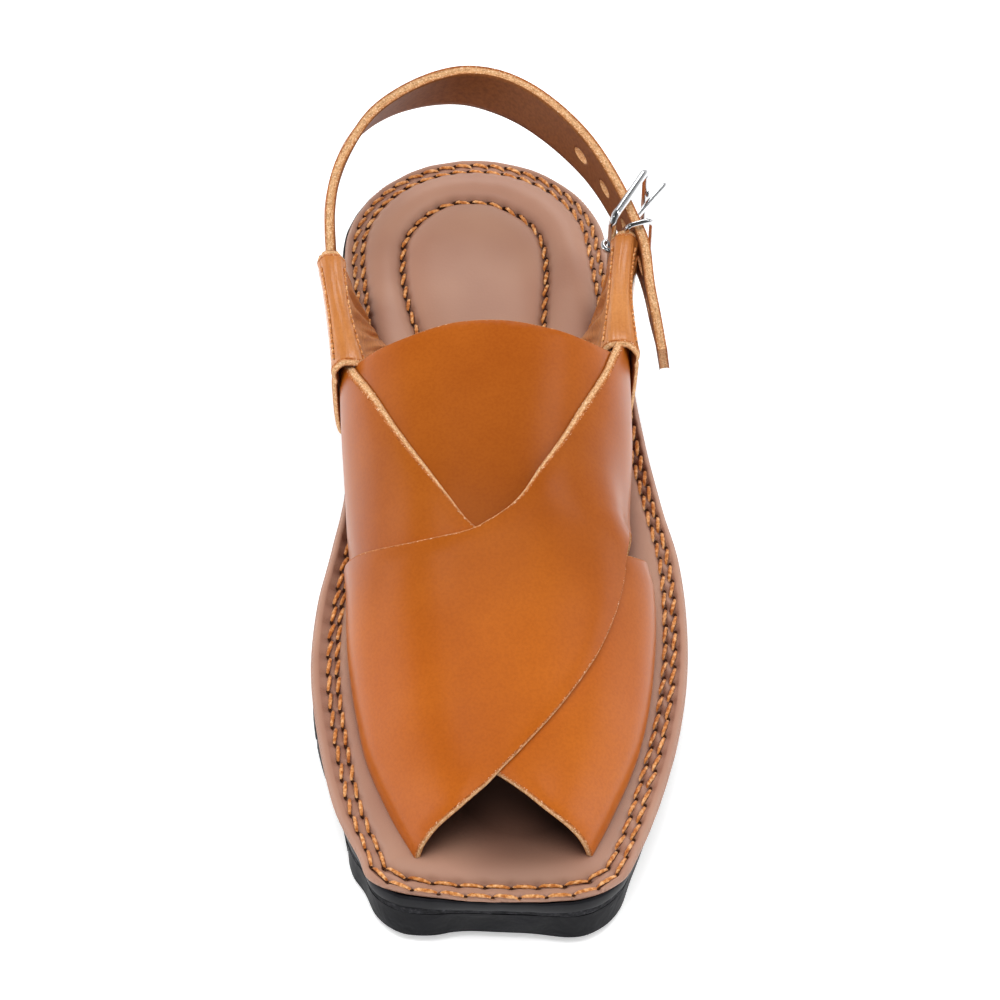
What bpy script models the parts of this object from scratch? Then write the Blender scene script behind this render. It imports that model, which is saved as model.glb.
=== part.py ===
"""Left peshawari chappal: crossed two-strap leather upper, folded ears, buckled heel strap, quilted
insole, foam wedge midsole and tyre-tread outsole.

Metres, +Z up.  The toe points to -Y, the lateral (outer) side is +X, and the sole stands on z = 0.
Tables hold percentages of the driving dimensions, so that the shoe scales with them: "along" runs from
the back of the heel (0) to the toe rim (100), "across" is from the axis, positive to the lateral side.
"""

import math
from bisect import bisect_right

import bmesh
import bpy
from mathutils import Vector
from mathutils.geometry import delaunay_2d_cdt

MM = 0.001

# Driving dimensions
LENGTH = 286 * MM  # footbed, heel to toe rim
BALL_WIDTH = 110 * MM  # footbed at the ball of the foot
HEEL_RADIUS = 40.7 * MM  # the heel is a half circle
INSTEP = 52.5 * MM  # inner height of the upper over the footbed at the throat
LEATHER = 2.0 * MM  # one layer of upper leather
EAR_LEATHER = 1.8 * MM
GAP = 0.3 * MM  # between pieces that touch

OUTSOLE_THICK = 9.0 * MM
TREAD_DEPTH = 4.2 * MM
INSOLE_THICK = 3.4 * MM
RAND_HEIGHT = 2.2 * MM  # smooth strip round the top of the midsole
STRAP_WIDTH = 18.0 * MM
STRAP_THICK = 3.0 * MM

# Where the shoe's own axis lies, so that the whole part is centred over the origin
PLACE = Vector((-4.7, -2.5, 0)) * MM


def table(columns, *rows):
    """A short table as a dict from column name to its values."""
    return dict(zip(columns.split(), zip(*rows)))


# Footbed outline, from the widest point of the heel round the toe and back.
OUTLINE = table(
    "along across",
    (24, 39.7), (33, 42.7), (42, 45.8), (50, 49.6), (56, 52.9), (63, 54.4), (71, 53.9),  # lateral
    (79, 50.8), (87, 45.3), (93, 39.7), (97, 34.8), (99.4, 27), (100.1, 16),  # round toe corner
    (100.1, 0), (99.7, -12), (98.7, -24), (96.8, -31), (94, -33.4),  # tight toe corner
    (88, -39.5), (78, -44.3), (70, -46), (62, -44.4), (55, -40.7), (48, -37.2),  # medial
    (40, -35.4), (32, -34.8), (23, -35.8),
)

# Side profile: how far the tread rises off the floor, and the midsole's thickness.
PROFILE = table(
    "along spring midsole",
    (0, 0.0, 19.8), (25, 0.0, 18.3), (50, 0.0, 12.8), (70, 0.0, 8.3),
    (80, 0.4, 6.4), (90, 1.4, 4.8), (100, 3.0, 3.9),
)

# Inner sections of the upper: where each wall stands, its widest place, the crown and how square it is.
LAST = table(
    "along medial_foot medial_belly lateral_foot lateral_belly crown_across crown_height fullness",
    (20, -28.0, -38.5, 34.0, 39.0, 1.5, 100, 3.3),
    (29, -28.0, -37.5, 34.5, 38.5, 1.5, 101, 3.3),
    (38, -28.8, -36.2, 35.0, 37.8, 1.5, 100, 3.2),
    (46.5, -30.5, -35.6, 35.5, 38.0, 1.0, 96, 2.9),
    (55, -32.0, -34.0, 36.0, 37.8, 0.0, 89, 2.6),
    (60, -31.2, -33.2, 38.4, 40.2, 0.0, 84.3, 2.45),
    (64, -30.8, -33.2, 42.3, 45.0, 0.0, 79, 2.35),
    (73, -32.2, -34.5, 41.8, 44.4, 0.5, 66, 2.2),
    (81.5, -30.0, -31.8, 38.0, 40.2, 1.5, 53, 2.1),
    (89.5, -23.4, -24.4, 30.6, 31.9, 2.3, 40, 2.0),
    (95.5, -16.6, -17.0, 24.0, 24.6, 2.7, 33, 2.0),
)

# Cut edges of the upper's leather.  "around" runs over the foot, from -100 at the medial wall's foot
# through 0 at the crown to 100 at the lateral wall's foot.
OVER_TOE = table("along around", (94.7, -100), (94.7, -80), (94.2, -56), (93.1, -29), (91.2, -9), (89.7, 0))
OVER_FRONT = table(  # front edge of the strap that lies on top, from the toe opening to its lateral foot
    "along around",
    (89.7, 0), (87.3, 11), (83, 26), (77, 40), (71.6, 48), (67.6, 52), (64, 56), (60.5, 66), (58, 82), (57, 100),
)
OVER_REAR = table(  # its rear edge, from its medial foot over the crossing to the lateral ear
    "along around",
    (60, -100), (61, -85), (63.2, -66), (65, -48), (65.8, -30), (65.2, -5), (62.3, 12), (59, 22),
    (55.8, 30), (51.3, 39), (46.2, 48), (42.6, 53.5), (40, 60), (37.5, 65),
)
UNDER_TOE = table("along around", (89.7, 0), (91.3, 14), (93.0, 32), (94.0, 53), (94.6, 79), (94.4, 100))
UNDER_FRONT = table(  # front edge of the strap beneath, mirrored
    "along around",
    (89.7, 0), (87.3, -11), (83, -26), (77, -40), (71, -51), (66.5, -62), (64.5, -80), (64, -100),
)
UNDER_REAR = table(
    "along around",
    (61.5, 100), (62.4, 78), (64.2, 60), (66, 38), (66.5, 15), (65, -5), (61.5, -19), (57.7, -30),
    (53.4, -40), (47.6, -51), (43, -60.5), (39.5, -67),
)
VAMP_REAR = table(  # throat edge of the vamp piece, from ear to ear
    "along around",
    (39.5, -71), (41, -64.5), (42.3, -50), (42.6, -36), (41.6, -13), (41.4, 5), (42, 28), (42, 44), (40.7, 57), (39, 63), (37, 67),
)
VAMP_FRONT = table("along around", (50, 100), (56, 62), (64, 38), (69.5, 15), (70, -15), (64, -38), (56, -62), (50, -100))
MEDIAL_END = 38.5  # where the upper ends inside each ear
LATERAL_END = 35.0
CHART_ARC = 70 * MM  # length in the flat chart that stands for "around" from 0 to 100

# Folded ears, from rear mouth (0) to front mouth (100): the fold's ridge and its width over both leaves,
# and where the outer and the inner leaf stand on the footbed.  In millimetres.
EARS = {
    "ear_medial": (-1, table(
        "place ridge_x ridge_y ridge_z width outer_x outer_y inner_x inner_y",
        (0, -44.8, 67, 65.6, 8.2, -38.4, 80, -34.2, 82),
        (50, -42.8, 46, 66.0, 8.2, -38.2, 48, -30.5, 71),
        (100, -39.2, 25.2, 64.8, 11.2, -39.4, 30, -24.0, 60),
    )),
    "ear_lateral": (1, table(
        "place ridge_x ridge_y ridge_z width outer_x outer_y inner_x inner_y",
        (0, 43.4, 75.5, 65.8, 8.2, 41.8, 73, 37.2, 73),
        (50, 43.0, 55, 66.0, 8.0, 44.0, 55, 35.5, 67),
        (100, 40.9, 33, 64.6, 11.5, 45.0, 37, 27.0, 60),
    )),
}

# Heel strap: its upper outer edge, from its end in the medial ear round the heel to its free tail.
# "lean" turns its lower edge outward below that edge.
HEEL_STRAP = table(
    "x y z lean",
    (-44.4, 50, 61, 0), (-45.7, 62, 61.6, 0), (-46.4, 70, 63.2, -1), (-46.7, 79, 66, -2), (-46.3, 90, 68, 3),
    (-43.8, 103, 69.5, 11), (-37.5, 118, 70.5, 22), (-32, 127, 71, 27), (-23, 136, 71, 26),
    (-12.5, 142.5, 71, 19), (-3.5, 144.9, 71, 12), (6, 143.5, 71, 5), (15, 138.6, 71, 2), (24, 130.2, 70.8, 1),
    (33, 118, 70.5, 2), (38.7, 107.6, 69.8, 3), (44.4, 94.5, 68.3, 3), (48.1, 84, 67, 2), (51.0, 74, 66.3, 2),
    (52.4, 57, 64, 7), (54.0, 45.5, 61.5, 9), (55.5, 36, 57.5, 9),
)
HOLES_BEHIND = 2  # holes beyond the one on the prong, towards the heel
HOLES_AHEAD = 2
HOLE_PITCH = 17 * MM
HOLE_LENGTH = 6.0 * MM  # oblong, so that the prong passes at a slant
HOLE_HEIGHT = 3.6 * MM

WIRE = 1.25 * MM  # radius of the buckle's wire
FINE_WIRE = 0.9 * MM  # radius of the prong's and the keeper's wire
BAR = Vector((40.2, 78.8, 58.4)) * MM  # middle of the frame's front bar
BUCKLE_REACH = 24.3 * MM
BUCKLE_HEIGHT = 22.6 * MM
BUCKLE_SWING = math.radians(27)  # outward from the shoe's axis
PRONG_SWING = math.radians(33)
PRONG_REACH = 32 * MM
KEEPER_INNER = Vector((44.6, 77.3, 57.6)) * MM
KEEPER_OUTER = Vector((52.2, 80.1, 57.6)) * MM


# Reading tables

def read(rows, column, at, key="along"):
    """The column's value at a place in the key column, on a smooth curve through the rows."""
    keys, values = rows[key], rows[column]
    last = len(keys) - 1
    i = max(1, min(last, bisect_right(keys, at)))

    def slope(j):
        low, high = max(j - 1, 0), min(j + 1, last)
        return (values[high] - values[low]) / (keys[high] - keys[low])

    step = keys[i] - keys[i - 1]
    t = max(0.0, min(1.0, (at - keys[i - 1]) / step))
    rise = values[i] - values[i - 1]
    return (
        values[i - 1]
        + t * slope(i - 1) * step
        + t * t * (3 * rise - (2 * slope(i - 1) + slope(i)) * step)
        + t * t * t * ((slope(i - 1) + slope(i)) * step - 2 * rise)
    )


def spline(points, count, closed=False):
    """Points spaced evenly along a smooth curve through the given ones (centripetal Catmull-Rom)."""
    if closed:
        line = [points[-1], *points, points[0], points[1]]
    else:
        line = [points[0] * 2 - points[1], *points, points[-1] * 2 - points[-2]]
    dense = []
    for near in zip(line, line[1:], line[2:], line[3:]):
        knots = [0.0]
        for a, b in zip(near, near[1:]):
            knots.append(knots[-1] + (b - a).length ** 0.5)
        for step in range(16):
            t = knots[1] + (knots[2] - knots[1]) * step / 16
            level = near
            for spans in (((0, 1), (1, 2), (2, 3)), ((0, 2), (1, 3)), ((1, 2),)):
                level = [
                    a.lerp(b, (t - knots[low]) / (knots[high] - knots[low]))
                    for a, b, (low, high) in zip(level, level[1:], spans)
                ]
            dense.append(level[0])
    dense.append(points[0] if closed else points[-1])
    run = [0.0]
    for a, b in zip(dense, dense[1:]):
        run.append(run[-1] + (b - a).length)
    spaced = []
    for i in range(count):
        want = run[-1] * i / (count if closed else count - 1)
        j = max(1, min(len(run) - 1, bisect_right(run, want)))
        spaced.append(dense[j - 1].lerp(dense[j], (want - run[j - 1]) / (run[j] - run[j - 1])))
    return spaced


def station(along):
    """Y of a place given in percent of the length."""
    return (0.5 - along / 100) * LENGTH


def along_of(y):
    return (0.5 - y / LENGTH) * 100


# Sole outline and heights

def footbed_outline(count):
    """The footbed's closed outline as 2-D points, heel first, lateral side next."""
    centre = LENGTH / 2 - HEEL_RADIUS
    heel = [
        Vector((HEEL_RADIUS * math.sin(turn), centre + HEEL_RADIUS * math.cos(turn)))
        for turn in (math.radians(angle) for angle in range(-90, 91, 18))
    ]
    sides = [
        Vector((across / 100 * BALL_WIDTH, station(along)))
        for along, across in zip(OUTLINE["along"], OUTLINE["across"])
    ]
    return spline(heel + sides, count, closed=True)


OUTLINE_POINTS = 112
FOOTBED = footbed_outline(OUTLINE_POINTS)


def outward(i):
    """Unit normal of the outline at its point i."""
    run = FOOTBED[(i + 1) % OUTLINE_POINTS] - FOOTBED[i - 1]
    return Vector((-run.y, run.x)).normalized()


def outline(inset):
    """The footbed's outline, drawn in by inset."""
    return [point - outward(i) * inset for i, point in enumerate(FOOTBED)]


def edge_x(y, side):
    """X of the outline at y, on the lateral (1) or the medial (-1) side."""
    found = 0.0
    for a, b in zip(FOOTBED, FOOTBED[1:] + FOOTBED[:1]):
        if (a.y - y) * (b.y - y) <= 0 and a.y != b.y:
            x = a.x + (b.x - a.x) * (y - a.y) / (b.y - a.y)
            found = max(found, side * x)
    return side * found


def ground(y):
    """Height of the tread over the floor: none from the heel to the ball, then the toe spring."""
    return max(0, read(PROFILE, "spring", along_of(y)) * MM)


def outsole_top(y):
    return ground(y) + OUTSOLE_THICK


def midsole_top(y):
    return outsole_top(y) + GAP + read(PROFILE, "midsole", along_of(y)) * MM


def footbed(y):
    """Height of the insole's upper face."""
    return midsole_top(y) + GAP + INSOLE_THICK


# The upper's inner form

def last_point(y, around):
    """Point of the upper's inner face; around runs from -1 (medial foot) to 1 (lateral foot)."""
    along = along_of(y)
    side = "lateral" if around > 0 else "medial"
    turn = (1 - min(1.0, abs(around))) * math.pi / 2
    full = read(LAST, "fullness", along)
    cosine, sine = max(0.0, math.cos(turn)), math.sin(turn)
    radius = (cosine ** full + sine ** full) ** (-1 / full)
    up = radius * sine
    swell = math.sin(math.pi / 2 * min(1.0, up / 0.55))
    foot = read(LAST, side + "_foot", along)
    belly = read(LAST, side + "_belly", along)
    crown = read(LAST, "crown_across", along)
    across = crown + (foot + (belly - foot) * swell - crown) * radius * cosine
    height = read(LAST, "crown_height", along) / 100 * INSTEP
    return Vector((across / 100 * BALL_WIDTH, y, footbed(y) + GAP + height * up))


def last_normal(y, around):
    """Outward direction there, never pointing down, so that an offset keeps clear of the footbed."""
    step = 0.004
    low, high = max(-1.0, around - step), min(1.0, around + step)
    over = last_point(y, high) - last_point(y, low)
    ahead = last_point(y + MM, around) - last_point(y - MM, around)
    normal = over.cross(ahead)
    normal.z = max(0.0, normal.z)
    return normal.normalized()


def shell(y, around, lift):
    """Point at a height of lift over the upper's inner face."""
    return last_point(y, around) + last_normal(y, around) * lift


# Building meshes

MATERIALS = {
    # name: colour (linear), roughness, metallic
    "tyre_rubber": ((0.018, 0.018, 0.020), 0.75, 0.0),
    "crumb_foam": ((0.085, 0.083, 0.092), 0.85, 0.0),
    "lining_leather": ((0.36, 0.20, 0.16), 0.55, 0.0),
    "saddle_leather": ((0.50, 0.16, 0.04), 0.35, 0.0),
    "chrome_wire": ((0.80, 0.80, 0.80), 0.12, 1.0),
}


def material(name):
    made = bpy.data.materials.get(name)
    if made is None:
        made = bpy.data.materials.new(name)
        made.use_nodes = True
        colour, roughness, metallic = MATERIALS[name]
        shader = made.node_tree.nodes["Principled BSDF"]
        shader.inputs["Base Color"].default_value = (*colour, 1.0)
        shader.inputs["Roughness"].default_value = roughness
        shader.inputs["Metallic"].default_value = metallic
    return made


def finish(name, mesh, material_name, parent):
    """Turn a bmesh into a named object on the shoe's axis."""
    bmesh.ops.recalc_face_normals(mesh, faces=mesh.faces)
    data = bpy.data.meshes.new(name)
    mesh.to_mesh(data)
    mesh.free()
    data.shade_smooth()
    data.set_sharp_from_angle(angle=math.radians(35))
    data.materials.append(material(material_name))
    piece = bpy.data.objects.new(name, data)
    piece.parent = parent
    bpy.context.scene.collection.objects.link(piece)
    return piece


def clear_of(points, edge_points, distance):
    """The points that lie at least distance from every edge point."""
    return [p for p in points if all((p - q).length_squared > distance ** 2 for q in edge_points)]


def chart_grid(low, high, step):
    """A staggered grid of 2-D points over a rectangle."""
    rows = int((high.y - low.y) / step.y) + 1
    columns = int((high.x - low.x) / step.x) + 1
    return [
        Vector((low.x + (column + 0.5 * (row % 2)) * step.x, low.y + row * step.y))
        for row in range(rows)
        for column in range(columns)
    ]


def wound(patch):
    """The closed 2-D patch, running anticlockwise."""
    area = sum(a.cross(b) for a, b in zip(patch, patch[1:] + patch[:1]))
    return patch if area > 0 else patch[::-1]


def relief(patches, grid, level_of, skin):
    """One closed solid drawn over a flat chart.

    The patches cut the chart into cells.  level_of gives a cell's level from the patches that cover it,
    and skin(point, level) is the place of a chart point at a level.  The solid lies between the skin of level
    0 and each cell's own level, with a step wall wherever the level changes.
    """
    patches = [wound(patch) for patch in patches]
    corners = [point for patch in patches for point in patch]
    faces, first = [], 0
    for patch in patches:
        faces.append(list(range(first, first + len(patch))))
        first += len(patch)
    points, _, cells, _, _, owners = delaunay_2d_cdt(corners + grid, [], faces, 1, 1e-7)
    levels = [level_of(set(owner)) for owner in owners]
    mesh = bmesh.new()
    made = {}

    def vertex(i, level):
        if (i, level) not in made:
            made[i, level] = mesh.verts.new(skin(points[i], level))
        return made[i, level]

    edges, met = {}, {}
    for cell, level in zip(cells, levels):
        if not level:
            continue
        mesh.faces.new([vertex(i, 0) for i in cell])
        mesh.faces.new([vertex(i, level) for i in reversed(cell)])
        for a, b in zip(cell, cell[1:] + cell[:1]):
            edges.setdefault((min(a, b), max(a, b)), []).append(level)
            met.setdefault(a, set()).add(level)
    for ends, sides in edges.items():
        if len(sides) == 1:
            sides.append(0)
            for i in ends:
                met[i].add(0)
    for (a, b), (low, high) in ((ends, sorted(sides)) for ends, sides in edges.items()):
        if low < high:
            # The wall takes in every level that its corners meet, so that neighbouring walls join up.
            rise_a, rise_b = ([vertex(i, level) for level in sorted(met[i]) if low <= level <= high] for i in (a, b))
            mesh.faces.new(rise_a + rise_b[::-1])
    return mesh


def slab(rings):
    """Closed slab from rings of (inset, height function), lowest first, with flat-laid caps."""
    mesh = bmesh.new()
    drawn = []
    for inset, height in rings:
        drawn.append([mesh.verts.new((p.x, p.y, height(p.y))) for p in outline(inset)])
    for lower, upper in zip(drawn, drawn[1:]):
        for i in range(OUTLINE_POINTS):
            mesh.faces.new([lower[i - 1], lower[i], upper[i], upper[i - 1]])
    for ring, (inset, height) in ((drawn[0], rings[0]), (drawn[-1], rings[-1])):
        rim = outline(inset)[::-1]
        corner = Vector((BALL_WIDTH, LENGTH)) * 0.55
        inner = [
            p for p in clear_of(chart_grid(-corner, corner, Vector((14, 11)) * MM), rim, 7 * MM)
            if edge_x(p.y, -1) + inset < p.x < edge_x(p.y, 1) - inset
        ]
        points, _, cells, _, _, _ = delaunay_2d_cdt(rim + inner, [], [list(range(len(rim)))], 1, 1e-7)
        corners = ring[::-1] + [mesh.verts.new((p.x, p.y, height(p.y))) for p in points[len(ring):]]
        for cell in cells:
            mesh.faces.new([corners[i] for i in cell])
    return mesh


def tube(path, radius, sides=8, closed=False):
    """Round wire along a path of points."""
    mesh = bmesh.new()
    n = len(path)
    rings = []
    frame = None
    for i, point in enumerate(path):
        before = path[i - 1] if closed or i else point
        after = path[(i + 1) % n] if closed or i < n - 1 else point
        ahead = (after - before).normalized()
        if frame is None:
            frame = ahead.orthogonal().normalized()
        frame = (frame - ahead * frame.dot(ahead)).normalized()
        across = ahead.cross(frame)
        rings.append([
            mesh.verts.new(point + (frame * math.cos(a) + across * math.sin(a)) * radius)
            for a in (2 * math.pi * k / sides for k in range(sides))
        ])
    for i in range(n if closed else n - 1):
        lower, upper = rings[i], rings[(i + 1) % n]
        # The frame may come round turned, so the closing ring joins at its nearest point.
        shift = min(range(sides), key=lambda k: (upper[k].co - lower[0].co).length)
        for k in range(sides):
            a, b = (k + shift) % sides, (k + 1 + shift) % sides
            mesh.faces.new([lower[k], lower[(k + 1) % sides], upper[b], upper[a]])
    if not closed:
        mesh.faces.new(rings[0])
        mesh.faces.new(rings[-1])
    return mesh


# Pieces

GROOVE = 2.8 * MM
ROWS = (0.27, 0.50, 0.73)  # where the long grooves run, as shares of the width
LUG_PITCH = 21.5 * MM


def tread_grooves():
    """Closed 2-D strips of the tread's grooves, long ones first."""
    low, high = -0.56 * LENGTH, 0.56 * LENGTH

    def x_at(y, share):
        y = max(-0.47 * LENGTH, min(0.42 * LENGTH, y))
        return edge_x(y, -1) * (1 - share) + edge_x(y, 1) * share

    strips = []
    for share in ROWS:
        middle = [Vector((x_at(low + (high - low) * i / 24, share), low + (high - low) * i / 24)) for i in range(25)]
        half = Vector((GROOVE / 2, 0))
        strips.append([p - half for p in middle] + [p + half for p in reversed(middle)])
    count = int(LENGTH / LUG_PITCH) + 2
    # Each band of cross grooves spans two rows of lugs or one shoulder, at its own slant and offset.
    bands = ((-0.15, ROWS[0], -0.62, 0.0), (ROWS[0], ROWS[1], 0.22, 0.35), (ROWS[1], ROWS[2], 0.22, 0.70),
             (ROWS[2], 1.15, 0.62, 0.15))
    for start, end, slant, offset in bands:
        for k in range(-1, count):
            y = -LENGTH / 2 + (k + offset) * LUG_PITCH
            a, b = x_at(y, start), x_at(y, end)
            ends = Vector((a, y)), Vector((b, y + slant * (b - a)))
            half = Vector((0, GROOVE * 0.55))
            strips.append([ends[0] - half, ends[1] - half, ends[1] + half, ends[0] + half])
    return strips


TREAD_INSET = 2.0 * MM  # the sole's side tucks in towards the floor


def outsole(parent):
    """Rubber slab with lugs; its grooves run out through the side."""
    rim = outline(TREAD_INSET)
    flare = {0: -0.3 * MM, 1: 1.0 * MM, 2: TREAD_INSET}
    heights = {0: outsole_top, 1: lambda y: ground(y) + TREAD_DEPTH, 2: ground}

    def skin(point, level):
        nearest = min(range(OUTLINE_POINTS), key=lambda i: (rim[i] - point).length_squared)
        spot = point.copy()
        gap = min(
            abs((point - rim[i]).dot(outward(i))) for i in (nearest, nearest - 1, (nearest + 1) % OUTLINE_POINTS)
        )
        if gap < 0.08 * MM and (point - rim[nearest]).length < 4 * MM:
            spot += outward(nearest) * (TREAD_INSET - flare[level])
        return Vector((spot.x, spot.y, heights[level](spot.y)))

    def level_of(owners):
        if 0 not in owners:
            return 0
        return 1 if len(owners) > 1 else 2

    mesh = relief([rim] + tread_grooves(), [], level_of, skin)
    return finish("outsole", mesh, "tyre_rubber", parent)


def midsole(parent):
    """Foam wedge, thick at the heel, with a smooth strip standing proud round its top."""
    mesh = slab([
        (0.3 * MM, lambda y: outsole_top(y) + GAP),
        (0.3 * MM, lambda y: midsole_top(y) - RAND_HEIGHT - 0.4 * MM),
        (-0.4 * MM, lambda y: midsole_top(y) - RAND_HEIGHT),
        (-0.4 * MM, midsole_top),
    ])
    return finish("midsole", mesh, "crumb_foam", parent)


def insole(parent):
    """Leather-covered board with a turned rim and a soft pad inside the stitching."""
    mesh = slab([
        (0.9 * MM, lambda y: midsole_top(y) + GAP),
        (0.0, lambda y: midsole_top(y) + GAP + 1.0 * MM),
        (0.0, lambda y: footbed(y) - 1.2 * MM),
        (1.4 * MM, footbed),
    ])
    return finish("insole", mesh, "lining_leather", parent)


TOP_LEVEL = 3  # the strap on top; the strap beneath is level 2 and the vamp piece level 1


def smooth(low, high, at):
    """0 below low, 1 above high, and a smooth rise between them."""
    t = max(0.0, min(1.0, (at - low) / (high - low)))
    return t * t * (3 - 2 * t)


def layers(level, along, around):
    """How many layers of leather lie up to and including this level, thinning out where one beneath ends."""
    vamp_beneath = 1 - smooth(58, 74, along + 0.12 * max(0.0, around - 20))
    strap_beneath = smooth(50, 62, along) * (1 - smooth(66, 80, along) * smooth(0, 70, -around))
    return (0, 1, 1 + vamp_beneath, 1 + vamp_beneath + strap_beneath)[level]


def upper(parent):
    """Two straps crossed over the vamp piece, joined where they cross: one wall with a step at each edge."""

    def cut(rows, reverse=False, count=28):
        flat = [
            Vector((station(along), around / 100 * CHART_ARC))
            for along, around in zip(rows["along"], rows["around"])
        ]
        points = spline(flat, count)
        return points[::-1] if reverse else points

    def wall_foot(start, end, side, count):
        return [
            Vector((station(start + (end - start) * i / count), side * CHART_ARC)) for i in range(1, count)
        ]

    def ear_end(end, side, top):
        """The strap's cut end inside the ear, from its top corner down to the wall's foot."""
        return [Vector((station(end), side * CHART_ARC * (top + (1 - top) * i / 5))) for i in range(1, 6)]

    over = (
        wall_foot(OVER_TOE["along"][0], OVER_REAR["along"][0], -1, 15)
        + cut(OVER_REAR, count=36)
        + ear_end(LATERAL_END, 1, OVER_REAR["around"][-1] / 100)
        + wall_foot(LATERAL_END, OVER_FRONT["along"][-1], 1, 9)
        + cut(OVER_FRONT, reverse=True)[:-1]
        + cut(OVER_TOE, reverse=True, count=13)
    )
    under = (
        wall_foot(UNDER_TOE["along"][-1], UNDER_REAR["along"][0], 1, 15)
        + cut(UNDER_REAR, count=36)
        + ear_end(MEDIAL_END, -1, -UNDER_REAR["around"][-1] / 100)
        + wall_foot(MEDIAL_END, UNDER_FRONT["along"][-1], -1, 8)
        + cut(UNDER_FRONT, reverse=True)[:-1]
        + cut(UNDER_TOE, count=13)
    )
    vamp = (
        cut(VAMP_REAR, count=31)
        + wall_foot(VAMP_REAR["along"][-1], VAMP_FRONT["along"][0], 1, 8)
        + cut(VAMP_FRONT, count=31)
        + wall_foot(VAMP_FRONT["along"][-1], VAMP_REAR["along"][0], -1, 8)
    )
    patches = [over, under, vamp]
    corner = Vector((LENGTH / 2, CHART_ARC * 0.93))
    grid = clear_of(
        chart_grid(-corner, corner, Vector((9.5, 6.2)) * MM), [p for patch in patches for p in patch], 3.0 * MM
    )

    def skin(point, level):
        around = point.y / CHART_ARC
        return shell(point.x, around, layers(level, along_of(point.x), around * 100) * LEATHER)

    mesh = relief(patches, grid, lambda owners: max((TOP_LEVEL - owner for owner in owners), default=0), skin)
    return finish("upper", mesh, "saddle_leather", parent)


def ear(name, parent, side, sections):
    """Leather band folded over the strap ends: each leaf runs from the footbed up to the fold."""
    stations, leg_steps, fold_steps = 9, 6, 6
    mesh = bmesh.new()
    skins = ([], [])
    for s in range(stations):
        place = 100 * s / (stations - 1)
        size = {column: read(sections, column, place, key="place") * MM for column in sections if column != "place"}
        radius = size["width"] / 2
        fold = Vector((size["ridge_x"], size["ridge_y"], size["ridge_z"] - radius))
        rows = ([], [])
        for leaf, foot_x, foot_y in ((1, size["outer_x"], size["outer_y"]), (-1, size["inner_x"], size["inner_y"])):
            foot_z = footbed(foot_y) + GAP
            for row, depth in zip(rows, (0.0, EAR_LEATHER)):
                top_x = fold.x + side * leaf * (radius - depth)
                bottom_x = foot_x - side * leaf * depth
                column = []
                for k in range(leg_steps):
                    up = k / leg_steps
                    # The outer leaf swells over the wall; the inner one sweeps in to its foot.
                    swell = math.sin(math.pi / 2 * min(1.0, up / 0.42)) if leaf > 0 else 1 - (1 - up) ** 2.2
                    column.append(Vector((
                        bottom_x + (top_x - bottom_x) * swell,
                        foot_y + (fold.y - foot_y) * up,
                        foot_z + (fold.z - foot_z) * up,
                    )))
                if leaf > 0:
                    turns = (math.pi * k / fold_steps for k in range(fold_steps + 1))
                    column += [
                        fold + Vector((side * math.cos(turn), 0, math.sin(turn))) * (radius - depth) for turn in turns
                    ]
                row += column if leaf > 0 else column[::-1]
        for skin, row in zip(skins, rows):
            skin.append([mesh.verts.new(point) for point in row])
    for skin in skins:
        for rear, front in zip(skin, skin[1:]):
            for k in range(len(rear) - 1):
                mesh.faces.new([rear[k], rear[k + 1], front[k + 1], front[k]])
    outer, inner = skins
    for s in (0, -1):
        for k in range(len(inner[s]) - 1):
            mesh.faces.new([inner[s][k], inner[s][k + 1], outer[s][k + 1], outer[s][k]])
    for k in (0, -1):
        for s in range(stations - 1):
            mesh.faces.new([inner[s][k], inner[s + 1][k], outer[s + 1][k], outer[s][k]])
    return finish(name, mesh, "saddle_leather", parent)


def strap_frames(count):
    """(middle, outward, up) at evenly spaced places along the heel strap; outward is away from the foot."""
    # The lean rides along as a fourth coordinate, in steps too small to sway the curve.
    rows = [
        Vector((x, y, z, lean / 100)) * MM
        for x, y, z, lean in zip(*(HEEL_STRAP[column] for column in ("x", "y", "z", "lean")))
    ]
    edge = spline(rows, count)
    frames = []
    for i, row in enumerate(edge):
        point = row.to_3d()
        ahead = (edge[min(i + 1, count - 1)] - edge[max(i - 1, 0)]).to_3d().normalized()
        level = Vector((-ahead.y, ahead.x, 0)).normalized()
        upright = ahead.cross(level)
        turn = math.radians(row.w * 100 / MM)
        out = level * math.cos(turn) + upright * math.sin(turn)
        up = upright * math.cos(turn) - level * math.sin(turn)
        frames.append((point - out * STRAP_THICK / 2 - up * STRAP_WIDTH / 2, out, up))
    return frames


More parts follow.
